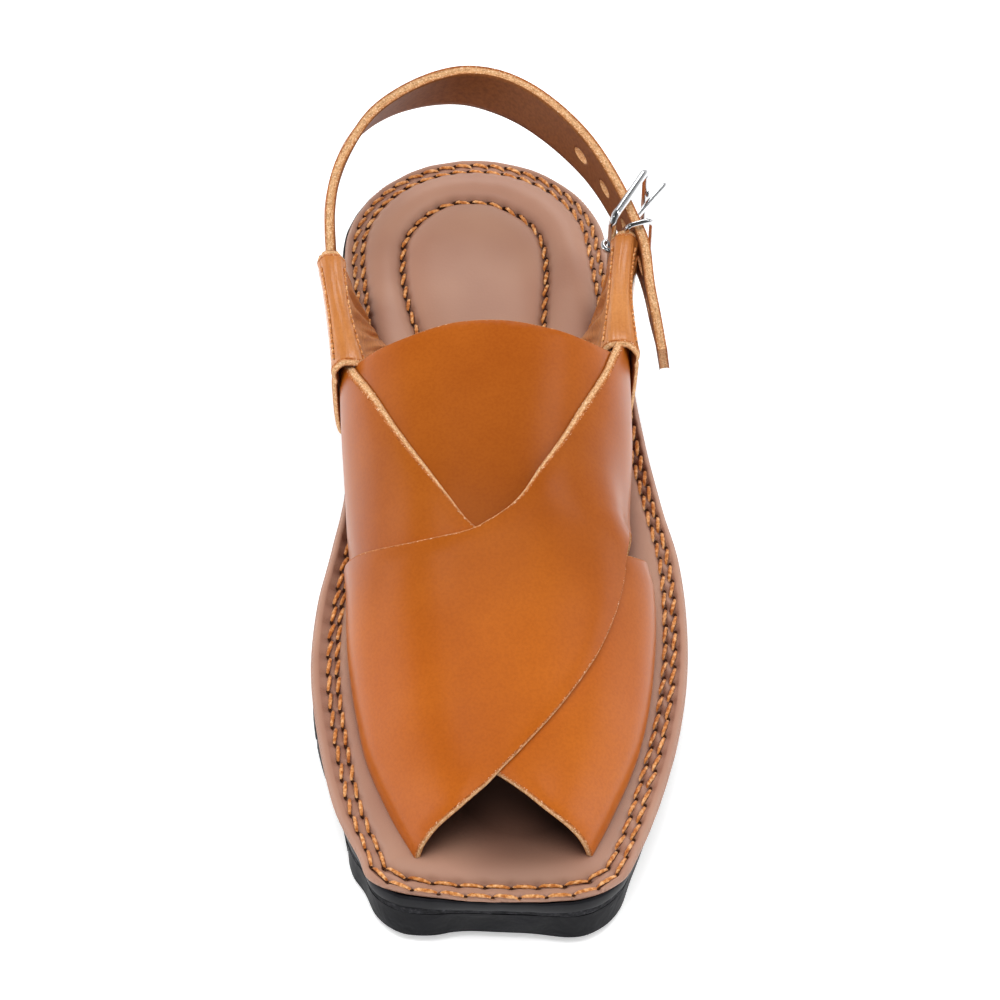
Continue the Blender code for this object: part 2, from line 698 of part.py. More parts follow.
def heel_strap(parent):
    """Flat strap swept round the heel, with punched holes and a free tail."""
    mesh = bmesh.new()
    rings = []
    for middle, out, up in strap_frames(61):
        rings.append([
            mesh.verts.new(middle + out * (a * STRAP_THICK / 2) + up * (b * STRAP_WIDTH / 2))
            for a, b in ((1, -1), (1, 0), (1, 1), (-1, 1), (-1, 0), (-1, -1))
        ])
    for ring, following in zip(rings, rings[1:]):
        for k in range(6):
            mesh.faces.new([ring[k], ring[(k + 1) % 6], following[(k + 1) % 6], following[k]])
    mesh.faces.new(rings[0])
    mesh.faces.new(rings[-1])
    strap = finish("heel_strap", mesh, "saddle_leather", parent)

    holes = bmesh.new()
    for middle, out, up in hole_frames():
        long, tall = out.cross(up) * HOLE_LENGTH / 2, up * HOLE_HEIGHT / 2
        ends = []
        for depth in (-STRAP_THICK, STRAP_THICK):
            ends.append([
                holes.verts.new(middle + out * depth + long * math.cos(a) + tall * math.sin(a))
                for a in (2 * math.pi * k / 10 for k in range(10))
            ])
        for k in range(10):
            holes.faces.new([ends[0][k - 1], ends[0][k], ends[1][k], ends[1][k - 1]])
        for end in ends:
            holes.faces.new(end)
    punch = finish("hole_punch", holes, "saddle_leather", parent)
    punch.hide_render = True
    punch.display_type = "WIRE"
    cut = strap.modifiers.new("holes", "BOOLEAN")
    cut.operation = "DIFFERENCE"
    cut.solver = "EXACT"
    cut.object = punch
    return strap


def hole_frames():
    """Strap frames at the punched holes: one on the prong, the others at even steps on both sides."""
    fine = strap_frames(600)
    sideways = Vector((math.cos(PRONG_SWING), -math.sin(PRONG_SWING), 0))
    lateral = [i for i, (middle, _, _) in enumerate(fine) if middle.x > 0]
    on_prong = min(lateral, key=lambda i: abs((fine[i][0] - BAR).dot(sideways)))
    pitch = HOLE_PITCH / (fine[on_prong + 1][0] - fine[on_prong][0]).length
    return [fine[round(on_prong + k * pitch)] for k in range(-HOLES_BEHIND, HOLES_AHEAD + 1)]


def wire_loop(corner_radius, corners, steps=5):
    """A closed path round four corners, each turned on an arc."""
    path = []
    for i, corner in enumerate(corners):
        into = (corners[i - 1] - corner).normalized()
        out = (corners[(i + 1) % len(corners)] - corner).normalized()
        centre = corner + (into + out) * corner_radius
        for k in range(steps + 1):
            turn = math.pi / 2 * k / steps
            path.append(centre - out * corner_radius * math.cos(turn) - into * corner_radius * math.sin(turn))
    return path


def buckle(parent):
    """Wire frame, prong and keeper; the frame's front bar stands in the rear mouth of the lateral ear."""
    rise = Vector((0, 0, BUCKLE_HEIGHT / 2))
    swing = Vector((math.sin(BUCKLE_SWING), math.cos(BUCKLE_SWING), 0)) * BUCKLE_REACH
    frame = wire_loop(3.2 * MM, [BAR - rise, BAR + rise, BAR + swing + rise, BAR + swing - rise])
    finish("buckle_frame", tube(frame, WIRE, closed=True), "chrome_wire", parent)

    ahead = Vector((math.sin(PRONG_SWING), math.cos(PRONG_SWING), 0))
    side = Vector((ahead.y, -ahead.x, 0))
    eye = WIRE + GAP + FINE_WIRE
    wrap = [
        BAR + (ahead * math.cos(turn) + side * math.sin(turn)) * eye
        for turn in (math.radians(70 + 22 * k) for k in range(11))
    ]
    shaft = [BAR + ahead * PRONG_REACH * share for share in (0.17, 0.4, 0.7, 1.0)]
    finish("buckle_prong", tube(wrap + shaft, FINE_WIRE), "chrome_wire", parent)

    tall = Vector((0, 0, STRAP_WIDTH / 2 + FINE_WIRE + 2 * GAP))
    corners = [KEEPER_INNER - tall, KEEPER_INNER + tall, KEEPER_OUTER + tall, KEEPER_OUTER - tall]
    keeper = wire_loop(2.0 * MM, corners, steps=4)
    finish("strap_keeper", tube(keeper, FINE_WIRE, closed=True), "chrome_wire", parent)


def main():
    for old in list(bpy.data.objects):
        bpy.data.objects.remove(old)
    shoe = bpy.data.objects.new("chappal_axis", None)
    shoe.location = PLACE
    bpy.context.scene.collection.objects.link(shoe)
    outsole(shoe)
    midsole(shoe)
    insole(shoe)
    upper(shoe)
    for name, (side, sections) in EARS.items():
        ear(name, shoe, side, sections)
    heel_strap(shoe)
    buckle(shoe)


main()
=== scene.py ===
"""Looks of the left peshawari chappal: draped leather straps with raw cut edges, folded ears, a bent heel
strap with a wire buckle, a quilted and double-stitched insole, a crumb foam wedge and a tyre-tread sole.

Metres, +Z up.  The toe points to -Y and the lateral (outer) side is +X.  Tables hold percentages of the
driving dimensions: "along" runs from the back of the heel (0) to the toe rim (100), "across" is from the
shoe's own axis, positive to the lateral side, and "around" runs over the foot from -100 at the medial
wall's foot through 0 at the crown to 100 at the lateral wall's foot.
"""

import math
from bisect import bisect_right

import bmesh
import bpy
import numpy as np
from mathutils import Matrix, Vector
from mathutils.geometry import delaunay_2d_cdt


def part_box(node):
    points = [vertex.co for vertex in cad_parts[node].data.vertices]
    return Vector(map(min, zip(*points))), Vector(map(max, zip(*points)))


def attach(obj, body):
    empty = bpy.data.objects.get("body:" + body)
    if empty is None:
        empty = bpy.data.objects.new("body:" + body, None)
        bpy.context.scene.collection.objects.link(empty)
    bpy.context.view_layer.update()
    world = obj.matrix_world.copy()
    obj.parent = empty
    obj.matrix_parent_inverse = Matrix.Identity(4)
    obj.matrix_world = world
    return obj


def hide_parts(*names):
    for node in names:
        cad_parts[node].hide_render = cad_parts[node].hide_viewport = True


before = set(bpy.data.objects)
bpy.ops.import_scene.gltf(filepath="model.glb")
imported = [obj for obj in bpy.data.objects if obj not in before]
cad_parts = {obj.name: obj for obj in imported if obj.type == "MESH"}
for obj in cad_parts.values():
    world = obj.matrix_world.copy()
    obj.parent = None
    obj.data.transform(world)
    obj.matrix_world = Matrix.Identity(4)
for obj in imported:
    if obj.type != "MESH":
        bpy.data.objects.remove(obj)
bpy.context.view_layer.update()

MM = 0.001

LENGTH = 286 * MM  # footbed, heel to toe rim
BALL_WIDTH = 110 * MM
HEEL_RADIUS = 40.7 * MM
INSTEP = 52.5 * MM  # the upper's inner height over the footbed
LEATHER = 2.0 * MM
EAR_LEATHER = 1.8 * MM
GAP = 0.3 * MM  # between one solid and the next

OUTSOLE_THICK = 9.0 * MM
TREAD_DEPTH = 4.2 * MM
INSOLE_THICK = 3.4 * MM
RAND_HEIGHT = 2.2 * MM  # of the smooth strip, below the wedge's top
RAND_RISE = 1.5 * MM  # of the smooth strip, above the wedge's top
TOE_ROLL = 2.7  # how far the sole's front edge is rolled back, in millimetres
TOE_DRAW = 1.4  # how far the insole's rim is drawn back at the toe, in millimetres
STRAP_WIDTH = 18.0 * MM
STRAP_THICK = 3.0 * MM


def table(columns, *rows):
    """A short table as a dict from column name to its values."""
    return dict(zip(columns.split(), zip(*rows)))


OUTLINE = table(
    "along across",
    (24, 39.7), (33, 42.7), (42, 45.8), (50, 49.6), (56, 52.9), (63, 54.4), (71, 53.9),  # lateral
    (79, 50.8), (87, 45.3), (93, 39.7), (97, 34.8), (99.4, 27), (100.1, 16),  # round toe corner
    (100.1, 0), (99.7, -12), (98.7, -24), (96.8, -31), (94, -33.4),  # tight toe corner
    (88, -39.5), (78, -44.3), (70, -46), (62, -44.4), (55, -40.7), (48, -37.2),  # medial
    (40, -35.4), (32, -34.8), (23, -35.8),
)

PROFILE = table(
    "along spring midsole",
    (0, 0.0, 19.8), (25, 0.0, 18.3), (50, 0.0, 12.8), (70, 0.0, 8.3),
    (80, 0.4, 6.4), (90, 1.4, 4.8), (100, 3.0, 3.9),
)

LAST = table(
    "along medial_foot medial_belly lateral_foot lateral_belly crown_across crown_height fullness",
    (20, -28.0, -38.5, 34.0, 39.0, 1.5, 100, 3.3),
    (29, -28.0, -37.5, 34.5, 38.5, 1.5, 101, 3.3),
    (38, -28.8, -36.2, 35.0, 37.8, 1.5, 100, 3.2),
    (46.5, -30.5, -35.6, 35.5, 38.0, 1.0, 96, 2.9),
    (55, -32.0, -34.0, 36.0, 37.8, 0.0, 89, 2.6),
    (60, -31.2, -33.2, 38.4, 40.2, 0.0, 84.3, 2.45),
    (64, -30.8, -33.2, 42.3, 45.0, 0.0, 79, 2.35),
    (73, -32.2, -34.5, 41.8, 44.4, 0.5, 66, 2.2),
    (81.5, -30.0, -31.8, 38.0, 40.2, 1.5, 53, 2.1),
    (89.5, -23.4, -24.4, 30.6, 31.9, 2.3, 40, 2.0),
    (95.5, -16.6, -17.0, 24.0, 24.6, 2.7, 33, 2.0),
)

# Cut edges of the upper's leather, as the last is walked round.
OVER_TOE = table("along around", (94.7, -100), (94.7, -80), (94.2, -56), (93.1, -29), (91.2, -9), (89.7, 0))
OVER_FRONT = table(
    "along around",
    (89.7, 0), (87.3, 11), (83, 26), (77, 40), (71.6, 47.7), (67.6, 51), (64.3, 52.5), (62, 57.5),
    (60.3, 65.5), (58, 81), (57, 100),
)
OVER_REAR = table(
    "along around",
    (60, -100), (61, -85), (63.2, -66), (65, -48), (65.8, -30), (65.2, -5), (62.3, 12), (59, 22),
    (55.5, 31.3), (50.6, 41.1), (45.2, 50.9), (43, 54.4), (40.3, 59), (37.5, 64),
)
UNDER_TOE = table("along around", (89.7, 0), (91.3, 14), (93.0, 32), (94.0, 53), (94.6, 79), (94.4, 100))
UNDER_FRONT = table(
    "along around",
    (89.7, 0), (87.3, -11), (83, -26), (77, -40), (71, -51), (66.5, -62), (64.5, -80), (64, -100),
)
UNDER_REAR = table(
    "along around",
    (61.5, 100), (62.4, 78), (64.2, 60), (66, 38), (66.5, 15), (65, -5), (61.5, -19), (57.7, -30),
    (53.4, -40), (47.6, -51), (43, -60.5), (39.5, -67),
)
VAMP_REAR = table(
    "along around",
    (39.5, -71), (41, -64.5), (42.3, -50), (42.6, -36), (41.6, -13), (41.4, 5), (42, 28), (42, 44),
    (40.7, 57), (39, 63), (37, 67),
)
VAMP_FRONT = table(
    "along around", (50, 100), (56, 62), (64, 38), (69.5, 15), (70, -15), (64, -38), (56, -62), (50, -100)
)
MEDIAL_END = 38.5  # where the upper ends inside each ear
LATERAL_END = 35.0
CHART_ARC = 70 * MM  # length in the flat chart that stands for "around" from 0 to 100

# Folded ears, from rear mouth (0) to front mouth (100): the fold's ridge and its width over both leaves,
# and where the outer and the inner leaf stand on the footbed.  In millimetres.
EARS = {
    "ear_medial": (-1, table(
        "place ridge_x ridge_y ridge_z width outer_x outer_y inner_x inner_y",
        (0, -44.6, 67, 65.6, 8.0, -38.4, 80, -33.5, 73),
        (50, -42.4, 46, 66.0, 7.4, -38.2, 48, -29.5, 67),
        (100, -39.2, 25.2, 64.8, 10.4, -39.4, 30, -24.0, 60),
    )),
    "ear_lateral": (1, table(
        "place ridge_x ridge_y ridge_z width outer_x outer_y inner_x inner_y",
        (0, 43.9, 75.5, 65.8, 8.0, 41.8, 73, 37.6, 73.5),
        (50, 41.8, 55, 66.0, 7.6, 43.4, 55, 33.0, 69.4),
        (100, 41.0, 33, 64.6, 11.6, 45.6, 37, 27.0, 60),
    )),
}

# Heel strap: its upper outer edge; "lean" turns its lower edge outward below that edge.
HEEL_STRAP = table(
    "x y z lean",
    (-44.4, 50, 61, 0), (-45.7, 62, 61.6, 0), (-46.4, 70, 63.2, -1), (-46.7, 79, 66, -2), (-46.3, 90, 68, 3),
    (-43.8, 103, 69.5, 11), (-37.5, 118, 70.5, 22), (-32, 127, 71, 27), (-23, 136, 71, 26),
    (-12.5, 142.5, 71, 19), (-3.5, 144.9, 71, 12), (6, 143.5, 71, 5), (15, 138.6, 71, 2),
    (24, 130.2, 70.8, 1), (33, 118, 70.5, 2), (38.7, 107.6, 69.8, 3), (44.4, 94.5, 68.3, 3),
    (48.1, 84, 67, 2), (51.0, 74, 66.3, 2), (52.4, 57, 64, 7), (54.0, 45.5, 61.5, 9), (55.5, 36, 57.5, 9),
)
HOLES_BEHIND = 2  # holes beyond the one on the prong, towards the heel
HOLES_AHEAD = 2
HOLE_PITCH = 17 * MM
HOLE_LENGTH = 6.8 * MM  # oblong, so that the prong passes at a slant
HOLE_HEIGHT = 4.4 * MM

WIRE = 1.25 * MM  # radius of the buckle's wire
FINE_WIRE = 0.9 * MM  # radius of the prong's and the keeper's wire
BAR = Vector((40.2, 78.8, 58.4)) * MM  # middle of the frame's front bar
BUCKLE_REACH = 24.3 * MM
BUCKLE_HEIGHT = 22.6 * MM
BUCKLE_CORNER = 3.2 * MM
KEEPER_CORNER = 2.0 * MM
BUCKLE_SWING = math.radians(27)  # outward from the shoe's axis
PRONG_SWING = math.radians(33)
PRONG_REACH = 32 * MM
KEEPER_INNER = Vector((44.6, 77.3, 57.6)) * MM
KEEPER_OUTER = Vector((52.2, 80.1, 57.6)) * MM

# Seam of the heel pad, from its medial front end round the back.
PAD_SEAM = table(
    "along across",
    (30, -13), (26.2, -16.6), (22.4, -19.0), (18.1, -20.6), (15.5, -20.7), (12.6, -20.0), (9.9, -16.5),
    (8.3, -12.8), (6.9, -7.4), (6.6, -1.4), (6.8, 4.5), (7.9, 9.6), (9.4, 14.3), (11.1, 17.3), (13.2, 18.9),
    (15.8, 19.5), (18.7, 19.4), (21.5, 18.9), (25.6, 18.1), (30, 16),
)
# How far the two rows of stitches lie inside the rim, in millimetres.
SEAMS = table(
    "along medial_outer medial_inner lateral_outer lateral_inner",
    (0, 3.0, 5.7, 3.0, 5.7), (15, 3.1, 5.7, 3.0, 5.6), (32, 3.3, 5.8, 3.0, 5.3), (46, 3.6, 6.0, 2.9, 5.1),
    (55, 4.8, 6.9, 3.2, 5.7), (63, 5.4, 7.6, 3.8, 6.5), (74, 5.1, 7.9, 4.3, 7.2), (86, 4.5, 7.5, 4.4, 7.3),
    (94, 2.9, 6.1, 3.0, 6.2), (101, 2.0, 5.8, 2.0, 5.8),
)
# How far the sole's foot is drawn in under the outline, and how far the worn toe corner reaches towards the
# lateral side and ahead, in millimetres.
UNDERCUT = table(
    "along medial lateral across ahead",
    (60, 0.0, 0.0, 0.0, 0.0), (70, 0.6, 1.4, 0.0, 0.0), (78, 1.8, 2.8, 0.0, 0.0), (84, 4.2, 3.4, 0.0, 0.0),
    (88, 3.4, 3.4, 0.0, 0.0), (92, 0.9, 3.0, 0.0, 0.0), (94, 1.4, 2.5, 0.4, 0.5), (96.8, 1.5, 1.5, 1.2, 1.8),
    (98.7, 0.4, 0.4, 1.6, 2.3), (99.7, 0.0, 0.0, 0.5, 0.3), (100.2, 0.0, 0.0, 0.0, -1.6),
)
THREAD_WIDTH = 1.2 * MM
EAR_THREAD_WIDTH = 0.75 * MM


# Reading tables

def read(rows, column, at, key="along"):
    """The column's value at a place in the key column, on a smooth curve through the rows."""
    keys, values = rows[key], rows[column]
    last = len(keys) - 1
    i = max(1, min(last, bisect_right(keys, at)))

    def slope(j):
        low, high = max(j - 1, 0), min(j + 1, last)
        return (values[high] - values[low]) / (keys[high] - keys[low])

    step = keys[i] - keys[i - 1]
    t = max(0.0, min(1.0, (at - keys[i - 1]) / step))
    rise = values[i] - values[i - 1]
    return (
        values[i - 1]
        + t * slope(i - 1) * step
        + t * t * (3 * rise - (2 * slope(i - 1) + slope(i)) * step)
        + t * t * t * ((slope(i - 1) + slope(i)) * step - 2 * rise)
    )


def spline(points, count, closed=False):
    """Points spaced evenly along a smooth curve through the given ones (centripetal Catmull-Rom)."""
    if closed:
        line = [points[-1], *points, points[0], points[1]]
    else:
        line = [points[0] * 2 - points[1], *points, points[-1] * 2 - points[-2]]
    dense = []
    for near in zip(line, line[1:], line[2:], line[3:]):
        knots = [0.0]
        for a, b in zip(near, near[1:]):
            knots.append(knots[-1] + (b - a).length ** 0.5)
        for step in range(24):
            t = knots[1] + (knots[2] - knots[1]) * step / 24
            level = near
            for spans in (((0, 1), (1, 2), (2, 3)), ((0, 2), (1, 3)), ((1, 2),)):
                level = [
                    a.lerp(b, (t - knots[low]) / (knots[high] - knots[low]))
                    for a, b, (low, high) in zip(level, level[1:], spans)
                ]
            dense.append(level[0])
    dense.append(points[0] if closed else points[-1])
    run = [0.0]
    for a, b in zip(dense, dense[1:]):
        run.append(run[-1] + (b - a).length)
    spaced = []
    for i in range(count):
        want = run[-1] * i / (count if closed else count - 1)
        j = max(1, min(len(run) - 1, bisect_right(run, want)))
        spaced.append(dense[j - 1].lerp(dense[j], (want - run[j - 1]) / (run[j] - run[j - 1])))
    return spaced


def smooth(low, high, at):
    """0 below low, 1 above high, and a smooth rise between them."""
    t = max(0.0, min(1.0, (at - low) / (high - low)))
    return t * t * (3 - 2 * t)


def station(along):
    """Y of a place given in percent of the length."""
    return (0.5 - along / 100) * LENGTH


def along_of(y):
    """The percentage of the length at y."""
    return (0.5 - y / LENGTH) * 100


def on_plan(rows):
    """The places of an along and across table, seen from above."""
    return [
        Vector((across / 100 * BALL_WIDTH, station(along)))
        for along, across in zip(rows["along"], rows["across"])
    ]


def as_array(points):
    """Points as the rows of an array."""
    return points if isinstance(points, np.ndarray) else np.array([tuple(p) for p in points], float)


# Sole outline and heights

def footbed_outline(count):
    """The footbed's closed outline as 2-D points, heel first, lateral side next."""
    centre = LENGTH / 2 - HEEL_RADIUS
    heel = [
        Vector((HEEL_RADIUS * math.sin(turn), centre + HEEL_RADIUS * math.cos(turn)))
        for turn in (math.radians(angle) for angle in range(-90, 91, 18))
    ]
    return spline(heel + on_plan(OUTLINE), count, closed=True)


OUTLINE_POINTS = 960
FOOTBED = footbed_outline(OUTLINE_POINTS)
RIM = as_array(FOOTBED)


def outward(i):
    """Unit normal of the outline at its point i."""
    run = FOOTBED[(i + 1) % OUTLINE_POINTS] - FOOTBED[i - 1]
    return Vector((-run.y, run.x)).normalized()


OUTWARD = [outward(i) for i in range(OUTLINE_POINTS)]


def outline(inset):
    """The footbed's outline, drawn in by inset."""
    return [point - OUTWARD[i] * inset for i, point in enumerate(FOOTBED)]


def nearest(point):
    """Number of the outline's point nearest to a point, seen from above."""
    return int(((RIM - np.array((point.x, point.y))) ** 2).sum(1).argmin())


def edge_x(y, side):
    """X of the outline at y, on the lateral (1) or the medial (-1) side."""
    found = 0.0
    for a, b in zip(FOOTBED, FOOTBED[1:] + FOOTBED[:1]):
        if (a.y - y) * (b.y - y) <= 0 and a.y != b.y:
            x = a.x + (b.x - a.x) * (y - a.y) / (b.y - a.y)
            found = max(found, side * x)
    return side * found


def ground(y):
    """Height of the tread's face, which springs up towards the toe."""
    return max(0, read(PROFILE, "spring", along_of(y)) * MM)


def outsole_top(y):
    """Height of the outsole's upper face, as are the next two of the midsole's and the insole's."""
    return ground(y) + OUTSOLE_THICK


def midsole_top(y):
    return outsole_top(y) + GAP + read(PROFILE, "midsole", along_of(y)) * MM


def footbed(y):
    return midsole_top(y) + GAP + INSOLE_THICK


# Where the shoe's axis lies in the frame, from the insole's own box.
insole_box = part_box("insole")
PLACE = Vector((
    (insole_box[0][0] + insole_box[1][0] - min(p.x for p in FOOTBED) - max(p.x for p in FOOTBED)) / 2,
    (insole_box[0][1] + insole_box[1][1] - min(p.y for p in FOOTBED) - max(p.y for p in FOOTBED)) / 2,
    0,
))


# The upper's inner form

def last_point(y, around):
    """Point of the upper's inner face; around runs from -1 (medial foot) to 1 (lateral foot)."""
    along = along_of(y)
    side = "lateral" if around > 0 else "medial"
    turn = (1 - min(1.0, abs(around))) * math.pi / 2
    full = read(LAST, "fullness", along)
    cosine, sine = max(0.0, math.cos(turn)), math.sin(turn)
    radius = (cosine ** full + sine ** full) ** (-1 / full)
    up = radius * sine
    swell = math.sin(math.pi / 2 * min(1.0, up / 0.55))
    foot = read(LAST, side + "_foot", along)
    belly = read(LAST, side + "_belly", along)
    crown = read(LAST, "crown_across", along)
    across = crown + (foot + (belly - foot) * swell - crown) * radius * cosine
    height = read(LAST, "crown_height", along) / 100 * INSTEP
    return Vector((across / 100 * BALL_WIDTH, y, footbed(y) + GAP + height * up))


def last_normal(y, around):
    """Unit normal of the upper's inner face, away from the foot."""
    step = 0.004
    low, high = max(-1.0, around - step), min(1.0, around + step)
    over = last_point(y, high) - last_point(y, low)
    ahead = last_point(y + MM, around) - last_point(y - MM, around)
    normal = over.cross(ahead)
    normal.z = max(0.0, normal.z)
    return normal.normalized()


def beneath(along, around):
    """How much of the vamp piece and of the lower strap lies under the place."""
    vamp = 1 - smooth(58, 74, along + 0.12 * max(0.0, around - 20))
    strap = smooth(50, 62, along) * (1 - smooth(66, 80, along) * smooth(0, 70, -around))
    return vamp, strap * (1 - smooth(50, 68, around) * (1 - smooth(60, 68, along)))


# Nodes and materials

def linear(code):
    """Linear colour of an sRGB hex code."""
    parts = (int(code[i:i + 2], 16) / 255 for i in (1, 3, 5))
    return tuple(p / 12.92 if p <= 0.04045 else ((p + 0.055) / 1.055) ** 2.4 for p in parts) + (1.0,)


def feed(tree, node, inputs):
    """Gives each input a value, a socket or another node, of which it takes the first live output."""
    for name, value in inputs.items():
        if isinstance(value, bpy.types.Node):
            value = next(socket for socket in value.outputs if socket.enabled)
        if isinstance(value, bpy.types.NodeSocket):
            tree.links.new(value, node.inputs[name])
        else:
            node.inputs[name].default_value = value


def add(tree, kind, inputs=None, stops=(), **settings):
    """A node with its settings, its inputs fed, and the (place, hex) stops of a colour ramp."""
    made = tree.nodes.new(kind)
    for name, value in settings.items():
        setattr(made, name, value)
    for _ in stops[2:]:
        made.color_ramp.elements.new(0.5)
    for element, (place, code) in zip(made.color_ramp.elements if stops else (), stops):
        element.position = place
        element.color = linear(code)
    feed(tree, made, inputs or {})
    return made


SHARE, UNDER, OVER = 0, 6, 7  # sockets of a Mix node for colours
BLEND = {"data_type": "RGBA"}
MULTIPLY = {"data_type": "RGBA", "blend_type": "MULTIPLY"}


def surface(name, **values):
    """An empty material of that name: its tree, its shader and its place on the piece."""
    made = bpy.data.materials.new(name)
    made.use_nodes = True
    tree = made.node_tree
    shader = tree.nodes["Principled BSDF"]
    for socket, value in values.items():
        shader.inputs[socket.replace("_", " ").title().replace("Ior", "IOR")].default_value = value
    return made, tree, shader, add(tree, "ShaderNodeTexCoord").outputs["Object"]


def per(size):
    """Noise scale of a feature of that size in millimetres."""
    return 1 / (size * MM)


def aniline_leather(name, dark, light, shine, *painted_shading):
    """Full-grain cowhide, drum dyed, waxed and plated: nearly smooth, with fine closed pores, a soft gloss
    and slow drifts of the dye.  painted_shading gives its painted light and shade from the toe (0) to the
    instep (1).  Where it is pulled over a fold the wax whitens, the gloss rises and fine pull marks run along
    the fold; the lighter dye given for such leather is partly painted highlight."""
    made, tree, shader, place = surface(
        name, ior=1.5, specular_ior_level=0.16 * shine, coat_weight=0.12 + 0.1 * (shine - 1),
        coat_roughness=0.3,
    )
    drift = add(tree, "ShaderNodeTexNoise", {"Vector": place, "Scale": per(38), "Detail": 3.0})
    pores = add(
        tree, "ShaderNodeTexNoise", {"Vector": place, "Scale": per(0.9), "Detail": 3.0, "Roughness": 0.6}
    )
    dye = add(tree, "ShaderNodeValToRGB", {"Fac": drift}, stops=((0.3, dark), (0.7, light)))
    fleck = add(tree, "ShaderNodeValToRGB", {"Fac": pores}, stops=((0.35, "#ECE4DC"), (0.6, "#FFFFFF")))
    mixed = add(tree, "ShaderNodeMix", {SHARE: 0.6, UNDER: dye, OVER: fleck}, **MULTIPLY)
    # painted light and shade along the shoe: a ramp over Y, from the toe to the instep, multiplies the dye
    parts = add(tree, "ShaderNodeSeparateXYZ", {"Vector": place})
    back = add(
        tree, "ShaderNodeMapRange",
        {"Value": parts.outputs["Y"], "From Min": -130 * MM, "From Max": 30 * MM},
    )
    shading_stops = painted_shading or ((0.0, "#FFFFFF"), (1.0, "#F8F8F8"))
    tone = add(tree, "ShaderNodeValToRGB", {"Fac": back}, stops=shading_stops)
    shade_painted = add(tree, "ShaderNodeMix", {SHARE: 1.0, UNDER: mixed, OVER: tone}, **MULTIPLY)
    gloss = add(
        tree, "ShaderNodeMapRange",
        {"Value": pores, "To Min": 0.28 / shine ** 0.5, "To Max": 0.38 / shine ** 0.5},
    )
    pull = add(tree, "ShaderNodeMapping", {"Vector": place, "Scale": (per(1.3), per(26), per(1.3))})
    mark = add(tree, "ShaderNodeTexNoise", {"Vector": pull, "Scale": 1.0, "Detail": 2.0})
    drawn = add(
        tree, "ShaderNodeBump", {"Height": mark, "Strength": 0.9 * (shine > 1), "Distance": 0.5 * MM}
    )
    bump = add(
        tree, "ShaderNodeBump", {"Height": pores, "Strength": 0.15, "Distance": 0.08 * MM, "Normal": drawn}
    )
    feed(tree, shader, {"Base Color": shade_painted, "Roughness": gloss, "Normal": bump})
    return made


def cut_leather():
    """Bare cut edge of drum-dyed cowhide: the dye stops short of the pale middle, where matted fibres run
    along the cut with lighter tufts and darker gaps.  Its UV runs along the edge in metres and from grain (0)
    to flesh (1)."""
    made, tree, shader, place = surface("cut_leather", ior=1.45, specular_ior_level=0.3)
    edge = add(tree, "ShaderNodeUVMap", uv_map="edge")
    parts = add(tree, "ShaderNodeSeparateXYZ", {"Vector": edge})
    fibre = add(
        tree, "ShaderNodeTexNoise", {"Vector": place, "Scale": per(0.55), "Detail": 4.0, "Roughness": 0.7}
    )
    strand = add(tree, "ShaderNodeMapping", {"Vector": edge, "Scale": (per(2.2), 7.0, 1.0)})
    layer = add(tree, "ShaderNodeTexNoise", {"Vector": strand, "Scale": 1.0, "Detail": 3.0})
    dyes = (
        (0.0, "#B4642A"), (0.1, "#D08A52"), (0.25, "#F4CCA0"), (0.62, "#E8B686"), (0.84, "#C88654"),
        (1.0, "#96582A"),
    )
    dyed = add(tree, "ShaderNodeValToRGB", {"Fac": parts.outputs["Y"]}, stops=dyes)
    tufts = ((0.36, "#BE9C78"), (0.5, "#EADCC8"), (0.62, "#FFFFFF"))
    tuft = add(tree, "ShaderNodeValToRGB", {"Fac": fibre}, stops=tufts)
    ply = add(tree, "ShaderNodeValToRGB", {"Fac": layer}, stops=((0.35, "#B49A7C"), (0.55, "#FFFFFF")))
    worn = add(tree, "ShaderNodeMix", {SHARE: 0.75, UNDER: dyed, OVER: tuft}, **MULTIPLY)
    laid = add(tree, "ShaderNodeMix", {SHARE: 0.6, UNDER: worn, OVER: ply}, **MULTIPLY)
    speck = add(tree, "ShaderNodeMapRange", {"Value": fibre, "From Min": 0.58, "From Max": 0.68})
    pale = add(tree, "ShaderNodeMix", {SHARE: speck, UNDER: laid, OVER: linear("#F7E3C2")}, **BLEND)
    bump = add(tree, "ShaderNodeBump", {"Height": fibre, "Strength": 0.6, "Distance": 0.2 * MM})
    feed(tree, shader, {"Base Color": pale, "Roughness": 0.85, "Normal": bump})
    return made


def flesh_leather():
    """Flesh side of the dyed hide, sealed and rubbed down: dark, smooth and slightly mottled."""
    made, tree, shader, place = surface("flesh_leather", ior=1.48, specular_ior_level=0.35)
    nap = add(
        tree, "ShaderNodeTexNoise", {"Vector": place, "Scale": per(1.2), "Detail": 3.0, "Roughness": 0.65}
    )
    tint = add(tree, "ShaderNodeValToRGB", {"Fac": nap}, stops=((0.3, "#723F1C"), (0.7, "#8C5228")))
    bump = add(tree, "ShaderNodeBump", {"Height": nap, "Strength": 0.25, "Distance": 0.15 * MM})
    feed(tree, shader, {"Base Color": tint, "Roughness": 0.6, "Normal": bump})
    return made


